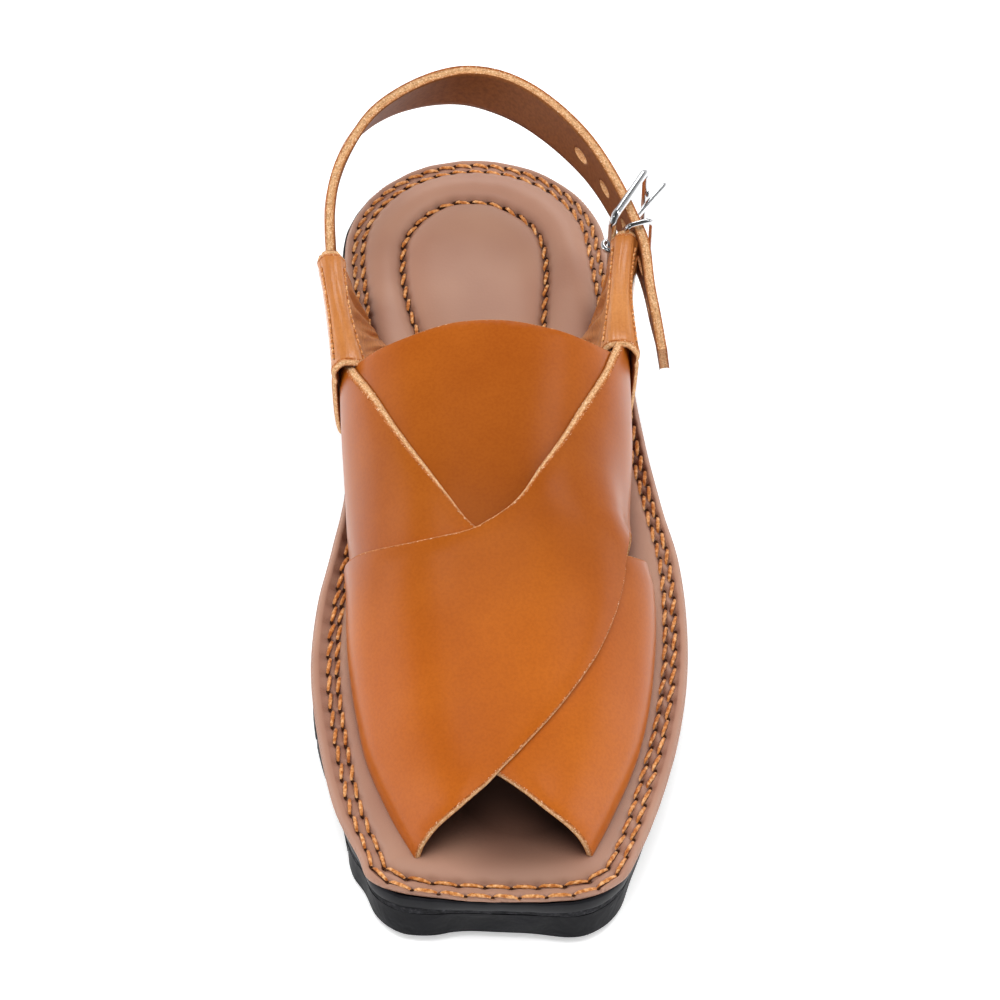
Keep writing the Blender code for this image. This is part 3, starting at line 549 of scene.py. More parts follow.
def lining_leather():
    """Soft split leather over foam, with a pigment coat: dusty rose brown, satin, fine pebbled grain, with
    painted shade under the straps in the toe opening and, from ambient occlusion, beside their walls."""
    made, tree, shader, place = surface("lining_leather", ior=1.48)
    drift = add(tree, "ShaderNodeTexNoise", {"Vector": place, "Scale": per(30), "Detail": 2.0})
    grain = add(tree, "ShaderNodeTexVoronoi", {"Vector": place, "Scale": per(0.8)}, feature="SMOOTH_F1")
    tint = add(tree, "ShaderNodeValToRGB", {"Fac": drift}, stops=((0.3, "#A87C68"), (0.7, "#B48A74")))
    # painted shade in the toe opening, under the straps: darker towards a spot near the toe
    spot = add(
        tree, "ShaderNodeMapping",
        {"Vector": place, "Location": (-5 * MM, 62 * MM, 0), "Scale": (1.0, 0.68, 0.0)},
    )
    reach = add(tree, "ShaderNodeVectorMath", {0: spot}, operation="LENGTH")
    under = add(
        tree, "ShaderNodeMapRange",
        {"Value": reach, "From Min": 22 * MM, "From Max": 36 * MM, "To Min": 0.9, "To Max": 0.0},
    )
    worn = add(tree, "ShaderNodeMix", {SHARE: under, UNDER: tint, OVER: linear("#4C3228")}, **BLEND)
    # painted shade beside the walls and in other hollows, from ambient occlusion
    occluded = add(tree, "ShaderNodeAmbientOcclusion", {"Distance": 22 * MM}, samples=6)
    painted_shade_stops = ((0.35, "#66443A"), (0.72, "#FFFFFF"))
    rubbed = add(tree, "ShaderNodeValToRGB", {"Fac": occluded.outputs["AO"]}, stops=painted_shade_stops)
    shaded = add(tree, "ShaderNodeMix", {SHARE: 1.0, UNDER: worn, OVER: rubbed}, **MULTIPLY)
    gloss = add(tree, "ShaderNodeMapRange", {"Value": grain, "To Min": 0.36, "To Max": 0.5})
    bump = add(tree, "ShaderNodeBump", {"Height": grain, "Strength": 0.2, "Distance": 0.1 * MM})
    feed(tree, shader, {"Base Color": shaded, "Roughness": gloss, "Normal": bump})
    return made


def waxed_thread():
    """Bonded polyester sewing thread, waxed: bright ochre, with a faint sheen along each ply."""
    made, tree, shader, place = surface("waxed_thread", ior=1.5, sheen_weight=0.2, sheen_roughness=0.4)
    ply = add(tree, "ShaderNodeTexNoise", {"Vector": place, "Scale": per(1.1), "Detail": 2.0})
    dyes = ((0.32, "#A85A1E"), (0.5, "#D08642"), (0.68, "#F2BC82"))
    tint = add(tree, "ShaderNodeValToRGB", {"Fac": ply}, stops=dyes)
    feed(tree, shader, {"Base Color": tint, "Roughness": 0.42})
    return made


def awl_hole_shade():
    """Painted shade of a needle hole in the lining: dark brown."""
    made, tree, shader, place = surface("awl_hole_shade", roughness=0.95, specular_ior_level=0.1)
    dust = add(tree, "ShaderNodeTexNoise", {"Vector": place, "Scale": per(0.6)})
    tint = add(tree, "ShaderNodeValToRGB", {"Fac": dust}, stops=((0.3, "#2A170E"), (0.7, "#4A2C1C")))
    feed(tree, shader, {"Base Color": tint})
    return made


def crumb_foam():
    """Expanded rubber crumb, pressed into a block and cut: charcoal grey with paler and darker grit."""
    made, tree, shader, place = surface("crumb_foam", ior=1.5, specular_ior_level=0.2)
    grit = add(tree, "ShaderNodeTexVoronoi", {"Vector": place, "Scale": per(1.6)}, feature="F1")
    dust = add(
        tree, "ShaderNodeTexNoise", {"Vector": place, "Scale": per(2.5), "Detail": 4.0, "Roughness": 0.7}
    )
    greys = ((0.35, "#161618"), (0.55, "#28282B"), (0.7, "#48484C"))
    tint = add(tree, "ShaderNodeValToRGB", {"Fac": dust}, stops=greys)
    height = add(tree, "ShaderNodeMath", {0: grit, 1: dust}, operation="ADD")
    bump = add(tree, "ShaderNodeBump", {"Height": height, "Strength": 0.7, "Distance": 0.5 * MM})
    feed(tree, shader, {"Base Color": tint, "Roughness": 0.9, "Normal": bump})
    return made


def rand_rubber():
    """Smooth extruded rubber strip: slate grey and faintly glossy."""
    made, tree, shader, place = surface("rand_rubber", ior=1.52, specular_ior_level=0.18)
    dust = add(tree, "ShaderNodeTexNoise", {"Vector": place, "Scale": per(8), "Detail": 3.0})
    tint = add(tree, "ShaderNodeValToRGB", {"Fac": dust}, stops=((0.3, "#151518"), (0.7, "#202024")))
    gloss = add(tree, "ShaderNodeMapRange", {"Value": dust, "To Min": 0.4, "To Max": 0.55})
    feed(tree, shader, {"Base Color": tint, "Roughness": gloss})
    return made


def tyre_rubber():
    """Moulded tyre rubber: black and matt, with a very fine mould texture over slow dents and flow marks."""
    made, tree, shader, place = surface("tyre_rubber", ior=1.52, specular_ior_level=0.15)
    mould = add(tree, "ShaderNodeTexNoise", {"Vector": place, "Scale": per(1.0), "Detail": 3.0})
    wear = add(
        tree, "ShaderNodeTexNoise", {"Vector": place, "Scale": per(12), "Detail": 3.0, "Distortion": 0.5}
    )
    tint = add(tree, "ShaderNodeValToRGB", {"Fac": wear}, stops=((0.3, "#0C0C10"), (0.7, "#18181C")))
    gloss = add(tree, "ShaderNodeMapRange", {"Value": wear, "To Min": 0.45, "To Max": 0.8})
    dents = add(tree, "ShaderNodeBump", {"Height": wear, "Strength": 0.8, "Distance": 1.6 * MM})
    bump = add(
        tree, "ShaderNodeBump", {"Height": mould, "Strength": 0.25, "Distance": 0.15 * MM, "Normal": dents}
    )
    feed(tree, shader, {"Base Color": tint, "Roughness": gloss, "Normal": bump})
    return made


def chrome_wire():
    """Drawn steel wire, bent and chrome plated: bright, with faint drawing marks."""
    made, tree, shader, place = surface("chrome_wire", metallic=1.0, base_color=linear("#DADBDD"))
    marks = add(tree, "ShaderNodeTexNoise", {"Vector": place, "Scale": per(1.5), "Detail": 2.0})
    gloss = add(tree, "ShaderNodeMapRange", {"Value": marks, "To Min": 0.08, "To Max": 0.2})
    feed(tree, shader, {"Roughness": gloss})
    return made


def studio_floor():
    """Matt white card, lit a little from beneath."""
    made, tree, shader, place = surface(
        "white_card", roughness=0.8, specular_ior_level=0.2, emission_color=(1, 1, 1, 1),
        emission_strength=0.45,
    )
    tone = add(tree, "ShaderNodeTexNoise", {"Vector": place, "Scale": per(400)})
    tint = add(tree, "ShaderNodeValToRGB", {"Fac": tone}, stops=((0.3, "#F6F6F6"), (0.7, "#F9F9F9")))
    feed(tree, shader, {"Base Color": tint})
    return made


# Painted light and shade on the straps and the heel strap: lightest towards the toe, where more light falls,
# darkest over the middle of the foot, and a little lighter behind it.
GRAIN = aniline_leather(
    "aniline_leather", "#AE5610", "#C0661A", 1.0,
    (0.0, "#FFFFFF"), (0.3, "#FAFAFA"), (0.5, "#E6E6E6"), (0.7, "#DCDCDC"), (1.0, "#F0F0F0"),
)
# The vamp piece: painted shade, darkest at the V where the straps cross over it and shade it, lighter towards
# the instep.
PAINTED_SHADE_LEATHER = aniline_leather(
    "painted_shade_leather", "#AE5610", "#C0661A", 1.0,
    (0.45, "#BEBABA"), (0.6, "#D6D4D4"), (0.8, "#E2E0E0"), (1.0, "#F4F4F4"),
)
# The ears' leather: its lighter dye is partly the wax whitened by the pull over the fold and partly a painted
# highlight over the whole ear.
PULLED_HIGHLIT_LEATHER = aniline_leather("pulled_highlit_leather", "#BC7030", "#D68E50", 2.0)
RAW, FLESH = cut_leather(), flesh_leather()
LINING, THREAD, HOLE_SHADE = lining_leather(), waxed_thread(), awl_hole_shade()
FOAM, RAND, TYRE, CHROME = crumb_foam(), rand_rubber(), tyre_rubber(), chrome_wire()


# Building pieces

def carrier(name, data):
    """An object of that data, linked into the scene."""
    made = bpy.data.objects.new(name, data)
    bpy.context.scene.collection.objects.link(made)
    return made


def faced_out(data):
    """The closed mesh with every face turned outwards."""
    shape = bmesh.new()
    shape.from_mesh(data)
    bmesh.ops.recalc_face_normals(shape, faces=shape.faces)
    shape.to_mesh(data)
    shape.free()
    return data


def piece(name, points, faces, materials, slots=None, sharp=None, of=(), edge=None):
    """A mesh piece on the root body, with a material slot for each face; of names the CAD nodes it stands
    for.  edge holds a UV pair for every corner of every face."""
    data = bpy.data.meshes.new(name)
    data.from_pydata([tuple(Vector(p) + PLACE) for p in points], [], [tuple(f) for f in faces])
    for made in materials:
        data.materials.append(made)
    if slots is not None:
        data.polygons.foreach_set("material_index", slots)
    if edge is not None:
        data.uv_layers.new(name="edge").data.foreach_set("uv", np.array(edge, np.float32).ravel())
    data.shade_smooth()
    if sharp is not None:
        data.set_sharp_from_angle(angle=math.radians(sharp))
    data.update()
    return settle(carrier(name, data), of)


def settle(made, of=()):
    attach(made, "root")
    if of:
        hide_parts(*of)
    return made


TRIANGLE_HEIGHT = 0.87  # of an equal-sided triangle, over its side


def chart_grid(low, high, step):
    """A staggered grid of 2-D points over a rectangle."""
    rows = int((high[1] - low[1]) / (step * TRIANGLE_HEIGHT)) + 1
    columns = int((high[0] - low[0]) / step) + 1
    row, column = np.meshgrid(np.arange(rows), np.arange(columns), indexing="ij")
    x = low[0] + (column + 0.5 * (row % 2)) * step
    return np.stack([x.ravel(), (low[1] + row * step * TRIANGLE_HEIGHT).ravel()], 1)


def distance(points, line, closed=True):
    """Distance of each 2-D point from a run of 2-D points, worked out a batch at a time."""
    points, line, batch = as_array(points), as_array(line), 2000
    ends = np.roll(line, -1, 0) if closed else line[1:]
    starts = line if closed else line[:-1]
    best = np.full(len(points), np.inf)
    run = ends - starts
    size = np.maximum((run ** 2).sum(1), 1e-18)
    for k in range(0, len(points), batch):
        offset = points[k:k + batch, None] - starts[None]
        share = np.clip((offset * run).sum(2) / size, 0, 1)
        gap = offset - share[..., None] * run
        best[k:k + batch] = np.sqrt((gap ** 2).sum(2)).min(1)
    return best


def inside(points, line):
    """Which 2-D points lie inside the closed line."""
    points, line = as_array(points), as_array(line)
    found = np.zeros(len(points), bool)
    for a, b in zip(line, np.roll(line, -1, 0)):
        crosses = (a[1] > points[:, 1]) != (b[1] > points[:, 1])
        with np.errstate(divide="ignore", invalid="ignore"):
            at = (b[0] - a[0]) * (points[:, 1] - a[1]) / (b[1] - a[1]) + a[0]
        found ^= crosses & (points[:, 0] < at)
    return found


def wound(patch):
    """The closed run of 2-D points, turned anticlockwise."""
    area = sum(a.cross(b) for a, b in zip(patch, patch[1:] + patch[:1]))
    return patch if area > 0 else patch[::-1]


def band_faces(rows, across):
    """Faces of a band of that many rows of points, and the closed rim round it."""
    last = (rows - 1) * across
    faces = [
        (s * across + k, s * across + k + 1, (s + 1) * across + k + 1, (s + 1) * across + k)
        for s in range(rows - 1)
        for k in range(across - 1)
    ]
    rim = (
        list(range(across))
        + [s * across + across - 1 for s in range(1, rows)]
        + [last + k for k in range(across - 2, -1, -1)]
        + [s * across for s in range(rows - 2, 0, -1)]
    )
    return faces, rim


def thickened(name, skin, faces, rim, thick, materials, of=(), normals=None, splay=None, corner=0.55 * MM):
    """A leather piece from its open grain side: skin points and faces wound outward, and a closed rim of
    vertex numbers that runs anticlockwise seen from outside.  splay gives for the rim's points and its
    outward directions how far the slanting cut reaches out at the flesh side.  Slots: grain, cut edge,
    flesh."""
    skin = as_array(skin)
    if normals is None:
        normals = np.zeros_like(skin)
        for face in faces:
            spot = skin[list(face)]
            across = np.cross(spot[1] - spot[0], spot[-1] - spot[0])
            for i in face:
                normals[i] += across
        normals /= np.maximum(np.linalg.norm(normals, axis=1, keepdims=True), 1e-12)
    grain, cut_edge, flesh = range(3)
    count, size = len(skin), len(rim)
    made = [tuple(f) for f in faces] + [tuple(i + count for i in reversed(f)) for f in faces]
    slots = [grain] * len(faces) + [flesh] * len(faces)
    corners = sum(len(f) for f in faces)
    edge = [(0.0, 0.0)] * corners + [(0.0, 1.0)] * corners
    p, n = skin[rim], normals[rim]
    out = np.cross(np.roll(p, -1, 0) - np.roll(p, 1, 0), n)
    out /= np.maximum(np.linalg.norm(out, axis=1, keepdims=True), 1e-12)
    slant = (splay(p, out) if splay else np.full(size, 0.1 * MM))[:, None]
    rings = [
        p + out * (corner * 0.55 + slant * 0.1) - n * corner * 0.22,
        p + out * (corner + slant * 0.3) - n * corner * 0.9,
        p + out * (corner + slant * 0.75) - n * thick * 0.6,
        p + out * (corner + slant) - n * (thick - corner * 0.6),
    ]
    depths = (0.0, 0.06, 0.2, 0.5, 0.85, 1.0)  # of the rings from grain to flesh, for the cut edge's UV
    levels = [list(rim), *([2 * count + k * size + i for i in range(size)] for k in range(len(rings)))]
    levels.append([i + count for i in rim])
    reach = np.concatenate([[0], np.cumsum(np.linalg.norm(np.roll(p, -1, 0) - p, axis=1))])
    for band, (upper, lower) in enumerate(zip(levels, levels[1:])):
        for i in range(size):
            j = (i + 1) % size
            made.append((upper[i], lower[i], lower[j], upper[j]))
            slots.append(flesh if band == len(rings) else cut_edge)
            edge += [
                (reach[i], depths[band]), (reach[i], depths[band + 1]),
                (reach[i + 1], depths[band + 1]), (reach[i + 1], depths[band]),
            ]
    points = np.concatenate([skin, skin - normals * thick, *rings])
    return piece(name, points, made, materials, slots, of=of, edge=edge)


def filled(outline_points, inner):
    """Triangles over a flat outline with more points inside it: (points, triangles, rim)."""
    rim = wound([Vector(p) for p in outline_points])
    points, _, cells, _, _, _ = delaunay_2d_cdt(
        rim + [Vector(p) for p in inner], [], [list(range(len(rim)))], 1, 1e-9
    )
    return points, cells, list(range(len(rim)))


# Upper

CHART_STEP = 1.9 * MM
PRESSED_IN = 0.9  # where another piece covers it, in millimetres
HELD_IN = 1.05  # the top strap, beside the lower strap's corner
STRAP_SLANT = 2.3  # of the straps' rear edges where they near their ear, in millimetres
REAR_MOUTH_SLANT, FRONT_MOUTH_SLANT = 2.8, 1.2


def cut(rows, reverse=False):
    """A cut edge as closely spaced points of the flat chart."""
    flat = [
        Vector((station(along), around / 100 * CHART_ARC))
        for along, around in zip(rows["along"], rows["around"])
    ]
    reach = sum((b - a).length for a, b in zip(flat, flat[1:]))
    points = spline(flat, max(4, int(reach / (1.2 * MM))))
    return points[::-1] if reverse else points


def wall_foot(start, end, side, tuck=1.02):
    """The bottom of a wall, a little below the insole's face."""
    count = max(3, int(abs(station(start) - station(end)) / (1.6 * MM)))
    return [
        Vector((station(start + (end - start) * i / count), side * CHART_ARC * tuck)) for i in range(1, count)
    ]


def ear_end(end, side, top):
    """The straight end of a strap inside its ear, from its top to the wall's foot."""
    count = 18
    shares = (top + (1 - top) * i / count for i in range(1, count + 1))
    return [Vector((station(end), side * CHART_ARC * share)) for share in shares]


def strap_cuts():
    """The three leather pieces as closed outlines in the flat chart."""
    over = (
        wall_foot(OVER_TOE["along"][0], OVER_REAR["along"][0], -1)
        + cut(OVER_REAR)
        + ear_end(LATERAL_END, 1, OVER_REAR["around"][-1] / 100)
        + wall_foot(LATERAL_END, OVER_FRONT["along"][-1], 1)
        + cut(OVER_FRONT, reverse=True)[:-1]
        + cut(OVER_TOE, reverse=True)
    )
    under = (
        wall_foot(UNDER_TOE["along"][-1], UNDER_REAR["along"][0], 1)
        + cut(UNDER_REAR)
        + ear_end(MEDIAL_END, -1, -UNDER_REAR["around"][-1] / 100)
        + wall_foot(MEDIAL_END, UNDER_FRONT["along"][-1], -1)
        + cut(UNDER_FRONT, reverse=True)[:-1]
        + cut(UNDER_TOE)
    )
    vamp = (
        cut(VAMP_REAR)
        + wall_foot(VAMP_REAR["along"][-1], VAMP_FRONT["along"][0], 1)
        + cut(VAMP_FRONT)
        + wall_foot(VAMP_FRONT["along"][-1], VAMP_REAR["along"][0], -1)
    )
    return over, under, vamp


def knife_slant(side):
    """The straps are cut with the knife held over, most of all along their rear edges towards their own
    ear."""

    def slant(points, out):
        rear = np.clip((out[:, 1] - 0.1) / 0.5, 0, 1)
        reach = np.clip((side * points[:, 0] - 6 * MM) / (26 * MM), 0, 1)
        return (0.12 + rear * (0.15 + STRAP_SLANT * reach)) * MM

    return slant


def draped(name, patch, covers, level, side):
    """One piece of the upper laid over the last and over the pieces beneath it; level counts them from the
    vamp piece (1) to the strap on top (3), and side is that of a strap's own ear.  Where another piece covers
    it, it is pressed down, and beside the lower strap's corner the top one is held in."""
    patch = wound(patch)
    flat = as_array(patch)
    clear_of_edge = (3.9 if side else 1.1) * MM
    grid = chart_grid(flat.min(0), flat.max(0), CHART_STEP)
    grid = grid[inside(grid, flat)]
    grid = grid[distance(grid, flat) > clear_of_edge]
    points, cells, rim = filled(patch, grid)
    flat = as_array(points)
    pressed = np.zeros(len(points))
    for cover in covers:
        depth = np.where(inside(flat, cover), distance(flat, cover), 0)
        pressed = np.maximum(pressed, np.clip(depth / (5 * MM), 0, 1))
    skin, normals = [], []
    for point, press in zip(points, pressed):
        y, around = point.x, point.y / CHART_ARC
        held = max(-1.0, min(1.0, around))
        normal = last_normal(y, held)
        vamp, strap = beneath(along_of(y), held * 100)
        lift = {1: 0.0, 2: vamp, 3: vamp + strap}[level] * LEATHER
        foot = last_point(y, held) - Vector((0, 0, (abs(around) - abs(held)) * CHART_ARC))
        held_in = HELD_IN * smooth(46, 61, along_of(y)) * smooth(0.4, 0.7, held) if level == 3 else 0.0
        skin.append(foot + normal * (lift + LEATHER - (press * PRESSED_IN + held_in) * MM))
        normals.append(tuple(normal))
    thickened(
        name, skin, [tuple(c)[::-1] for c in cells], rim[::-1], LEATHER,
        (GRAIN if side else PAINTED_SHADE_LEATHER, RAW, FLESH), normals=np.array(normals), of=("upper",),
        splay=knife_slant(side),
    )


# Ears

def mouth_slant(points, out):
    """The folded band's mouths are pared on a slant that shows from above, the rear one most."""
    rear = np.clip((out[:, 1] - 0.4) / 0.4, 0, 1)
    front = np.clip((-out[:, 1] - 0.4) / 0.4, 0, 1)
    return (0.1 + REAR_MOUTH_SLANT * rear + FRONT_MOUTH_SLANT * front) * MM


LEAF_STEPS, FOLD_STEPS = 40, 26


def ear_leaf(fold, radius, side, leaf, foot_x, foot_y, place):
    """A leaf of the ear from its foot up to the fold: the outer one (1) swells out, and the inner one (-1)
    hangs in pleats."""
    foot_z = footbed(foot_y) - 0.8 * MM
    fullness = 0.17 + (0.3 * smooth(50, 100, place) if side > 0 else 0.0)
    top_x = fold.x + side * leaf * radius
    column = []
    for k in range(LEAF_STEPS):
        up = k / LEAF_STEPS
        swell = (0.02 + 0.98 * up) ** fullness if leaf > 0 else 1 - (1 - up) ** 1.6
        pulled = 0.35 * math.exp(-((up - 0.9) / 0.035) ** 2)
        pleats = 0.0
        if leaf < 0:
            pleats = 0.9 * math.sin(place / 5.2 + 2.2 * up) + 0.35 * math.sin(place / 2.3 - 3 * up)
            pleats *= smooth(0.0, 0.15, up) * (1 - smooth(0.6, 0.9, up))
        column.append(Vector((
            foot_x + (top_x - foot_x) * swell + side * leaf * (pleats - pulled) * MM,
            foot_y + (fold.y - foot_y) * up,
            foot_z + (fold.z - foot_z) * up,
        )))
    return column


def ear_fold(fold, radius, side, place):
    """Over the fold from the outer to the inner leaf: ridged where it is pulled, sunk along the two seams."""
    arc = []
    for turn in (math.pi * k / FOLD_STEPS for k in range(FOLD_STEPS + 1)):
        ridge = math.sin(turn * 7 + 0.9 * math.sin(place / 17)) + 0.5 * math.sin(turn * 12 - place / 21)
        sunk = math.exp(-((turn - 0.5) / 0.12) ** 2) + math.exp(-((turn - 2.64) / 0.12) ** 2)
        bulge = radius + (0.13 * ridge * math.sin(turn) - 0.3 * sunk) * MM
        arc.append(fold + Vector((side * math.cos(turn), 0, math.sin(turn))) * bulge)
    return arc


def ear(name, side, sections):
    """Band folded over the strap ends, its leaves running down to the footbed, sewn together beside the
    fold."""
    stations = 60
    skin = []
    for s in range(stations):
        place = 100 * s / (stations - 1)
        columns = (column for column in sections if column != "place")
        size = {column: read(sections, column, place, key="place") * MM for column in columns}
        flare = 1 + 0.09 * math.exp(-place / 5) + 0.07 * math.exp((place - 100) / 6)
        radius = size["width"] / 2
        fold = Vector((size["ridge_x"], size["ridge_y"], size["ridge_z"] - radius))
        radius *= flare
        outer = ear_leaf(fold, radius, side, 1, size["outer_x"], size["outer_y"], place)
        inner = ear_leaf(fold, radius, side, -1, size["inner_x"], size["inner_y"], place)
        skin.append(outer + ear_fold(fold, radius, side, place) + inner[::-1])
    faces, rim = band_faces(stations, len(skin[0]))
    if side < 0:
        faces, rim = [f[::-1] for f in faces], rim[::-1]
    thickened(
        name, [p for row in skin for p in row], faces, rim, EAR_LEATHER, (PULLED_HIGHLIT_LEATHER, RAW, FLESH), of=(name,),
        splay=mouth_slant, corner=0.35 * MM,
    )
    threads = []
    for seed, share in ((41, 0.16), (43, 0.84)):
        k = LEAF_STEPS + round(FOLD_STEPS * share)
        line = spline([row[k] for row in skin[4:-3]], 20)
        away = []
        for p in line:
            nearby = min(skin, key=lambda row: abs(row[k].y - p.y))
            across_fold = (nearby[k + 1] - nearby[k - 1]).normalized()
            normal = Vector((across_fold.z, 0, -across_fold.x))
            away.append(normal if normal.z > 0 else -normal)
        threads += sewn(name + "_seam", line, away, False, EAR_THREAD_WIDTH, seed, slant=-5.0)
    settle(joined(name + "_stitches", threads))


# Heel strap and buckle

def strap_frames(count):
    """(middle, outward, up) at evenly spaced places along the heel strap; outward is away from the foot."""
    rows = [
        Vector((x, y, z, lean / 100)) * MM
        for x, y, z, lean in zip(*(HEEL_STRAP[column] for column in ("x", "y", "z", "lean")))
    ]
    edge = spline(rows, count)
    frames = []
    for i, row in enumerate(edge):
        point = row.to_3d()
        ahead = (edge[min(i + 1, count - 1)] - edge[max(i - 1, 0)]).to_3d().normalized()
        level = Vector((-ahead.y, ahead.x, 0)).normalized()
        upright = ahead.cross(level)
        turn = math.radians(row.w * 100 / MM)
        out = level * math.cos(turn) + upright * math.sin(turn)
        up = upright * math.cos(turn) - level * math.sin(turn)
        frames.append((point - out * STRAP_THICK / 2 - up * STRAP_WIDTH / 2, out, up))
    return frames


def hole_frames():
    """The frames of the punched holes, spaced from the one that the prong goes through."""
    fine = strap_frames(600)
    sideways = Vector((math.cos(PRONG_SWING), -math.sin(PRONG_SWING), 0))
    lateral = [i for i, (middle, _, _) in enumerate(fine) if middle.x > 0]
    on_prong = min(lateral, key=lambda i: abs((fine[i][0] - BAR).dot(sideways)))
    pitch = HOLE_PITCH / (fine[on_prong + 1][0] - fine[on_prong][0]).length
    return [fine[round(on_prong + k * pitch)] for k in range(-HOLES_BEHIND, HOLES_AHEAD + 1)]


def hole_punch():
    """Oblong rods through the strap, one at each hole."""
    sides = 20
    points, faces = [], []
    for middle, out, up in hole_frames():
        long, tall = out.cross(up) * HOLE_LENGTH / 2, up * HOLE_HEIGHT / 2
        first = len(points)
        for depth in (-STRAP_THICK, STRAP_THICK):
            points += [
                middle + out * depth + long * math.cos(a) + tall * math.sin(a)
                for a in (2 * math.pi * k / sides for k in range(sides))
            ]
        ring = list(range(first, first + sides))
        turned = ring[1:] + ring[:1]
        faces += [(b, a, a + sides, b + sides) for a, b in zip(ring, turned)]
        faces += [tuple(ring), tuple(k + sides for k in reversed(ring))]
    data = bpy.data.meshes.new("hole_punch")
    data.from_pydata([tuple(p + PLACE) for p in points], [], faces)
    data.materials.append(RAW)
    data.uv_layers.new(name="edge").data.foreach_set("uv", [0.4] * (2 * len(data.loops)))
    return carrier("hole_punch", faced_out(data))


def heel_strap():
    """The bent strap, its holes cut through it."""
    rows, across = 330, 13
    edge = 0.3 * MM
    skin, normals = [], []
    for middle, out, up in strap_frames(rows):
        for k in range(across):
            rise = (1 - 2 * k / (across - 1)) * (STRAP_WIDTH / 2 - edge)
            skin.append(middle + out * STRAP_THICK / 2 + up * rise)
            normals.append(tuple(out))
    faces, rim = band_faces(rows, across)
    strap = thickened(
        "heel_strap_hide", skin, faces, rim, STRAP_THICK, (GRAIN, RAW, FLESH), normals=np.array(normals),
        of=("heel_strap",),
    )
    punch = hole_punch()
    cutter = strap.modifiers.new("holes", "BOOLEAN")
    cutter.operation = "DIFFERENCE"
    cutter.solver = "EXACT"
    cutter.object = punch
    cutter.material_mode = "TRANSFER"
    bake(strap)
    bpy.data.objects.remove(punch)


def bake(made):
    """Turns the object's modifiers into its plain mesh."""
    bpy.context.view_layer.update()
    graph = bpy.context.evaluated_depsgraph_get()
    data = bpy.data.meshes.new_from_object(made.evaluated_get(graph))
    made.modifiers.clear()
    made.data = data


def wire_loop(corner_radius, corners, steps=10):
    """A closed path round four corners, each turned on an arc."""
    path = []
    for i, corner in enumerate(corners):
        into = (corners[i - 1] - corner).normalized()
        out = (corners[(i + 1) % len(corners)] - corner).normalized()
        centre = corner + (into + out) * corner_radius
        for k in range(steps + 1):
            turn = math.pi / 2 * k / steps
            path.append(
                centre - out * corner_radius * math.cos(turn) - into * corner_radius * math.sin(turn)
            )
    return path


def tube(name, path, radius, of, closed=False, sides=20):
    """Round wire along a path; radius may be a number or one value for each point."""
    n = len(path)
    radii = radius if isinstance(radius, list) else [radius] * n
    points, rings = [], []
    frame_side = None
    for i, point in enumerate(path):
        before = path[i - 1] if closed or i else point
        after = path[(i + 1) % n] if closed or i < n - 1 else point
        ahead = (after - before).normalized()
        if frame_side is None:
            frame_side = ahead.orthogonal().normalized()
        frame_side = (frame_side - ahead * frame_side.dot(ahead)).normalized()
        other = ahead.cross(frame_side)
        rings.append(len(points))
        points += [
            point + (frame_side * math.cos(a) + other * math.sin(a)) * radii[i]
            for a in (2 * math.pi * k / sides for k in range(sides))
        ]
    faces = []
    for i in range(n if closed else n - 1):
        a, b = rings[i], rings[(i + 1) % n]
        shift = min(range(sides), key=lambda k: (points[b + k] - points[a]).length)
        for k in range(sides):
            faces.append((a + k, a + (k + 1) % sides, b + (k + 1 + shift) % sides, b + (k + shift) % sides))
    if not closed:
        for ring, flip in ((rings[0], True), (rings[-1], False)):
            loop = [ring + k for k in range(sides)]
            faces.append(tuple(loop[::-1] if flip else loop))
    piece(name, points, faces, (CHROME,), sharp=50, of=of)


def buckle():
    """Frame, prong with its eye round the front bar, and the keeper, all of bent wire."""
    rise = Vector((0, 0, BUCKLE_HEIGHT / 2))
    swing = Vector((math.sin(BUCKLE_SWING), math.cos(BUCKLE_SWING), 0)) * BUCKLE_REACH
    corners = [BAR - rise, BAR + rise, BAR + swing + rise, BAR + swing - rise]
    tube("buckle_ring", wire_loop(BUCKLE_CORNER, corners), WIRE, ("buckle_frame",), closed=True)

    ahead = Vector((math.sin(PRONG_SWING), math.cos(PRONG_SWING), 0))
    side = Vector((ahead.y, -ahead.x, 0))
    eye = WIRE + GAP + FINE_WIRE
    wrap = [
        BAR + (ahead * math.cos(turn) + side * math.sin(turn)) * eye
        for turn in (math.radians(70 + 11 * k) for k in range(21))
    ]
    shares = (0.17, 0.25, 0.4, 0.55, 0.7, 0.85, 0.95, 0.985, 1.0)
    shaft = [BAR + ahead * PRONG_REACH * share for share in shares]
    radii = [FINE_WIRE] * (len(wrap) + len(shaft) - 2) + [FINE_WIRE * 0.85, FINE_WIRE * 0.4]
    tube("buckle_tongue", wrap + shaft, radii, ("buckle_prong",))

    tall = Vector((0, 0, STRAP_WIDTH / 2 + FINE_WIRE + 2 * GAP))
    corners = [KEEPER_INNER - tall, KEEPER_INNER + tall, KEEPER_OUTER + tall, KEEPER_OUTER - tall]
    path = wire_loop(KEEPER_CORNER, corners, steps=8)
    tube("keeper_loop", path, FINE_WIRE, ("strap_keeper",), closed=True)


# Insole

def rim_row(name):
    """The "outer" or the "inner" row of stitches round the rim, as a closed 2-D line."""
    line = []
    for point, out in zip(FOOTBED, OUTWARD):
        column = ("lateral_" if point.x > 0 else "medial_") + name
        line.append(point - out * read(SEAMS, column, along_of(point.y)) * MM)
    return line


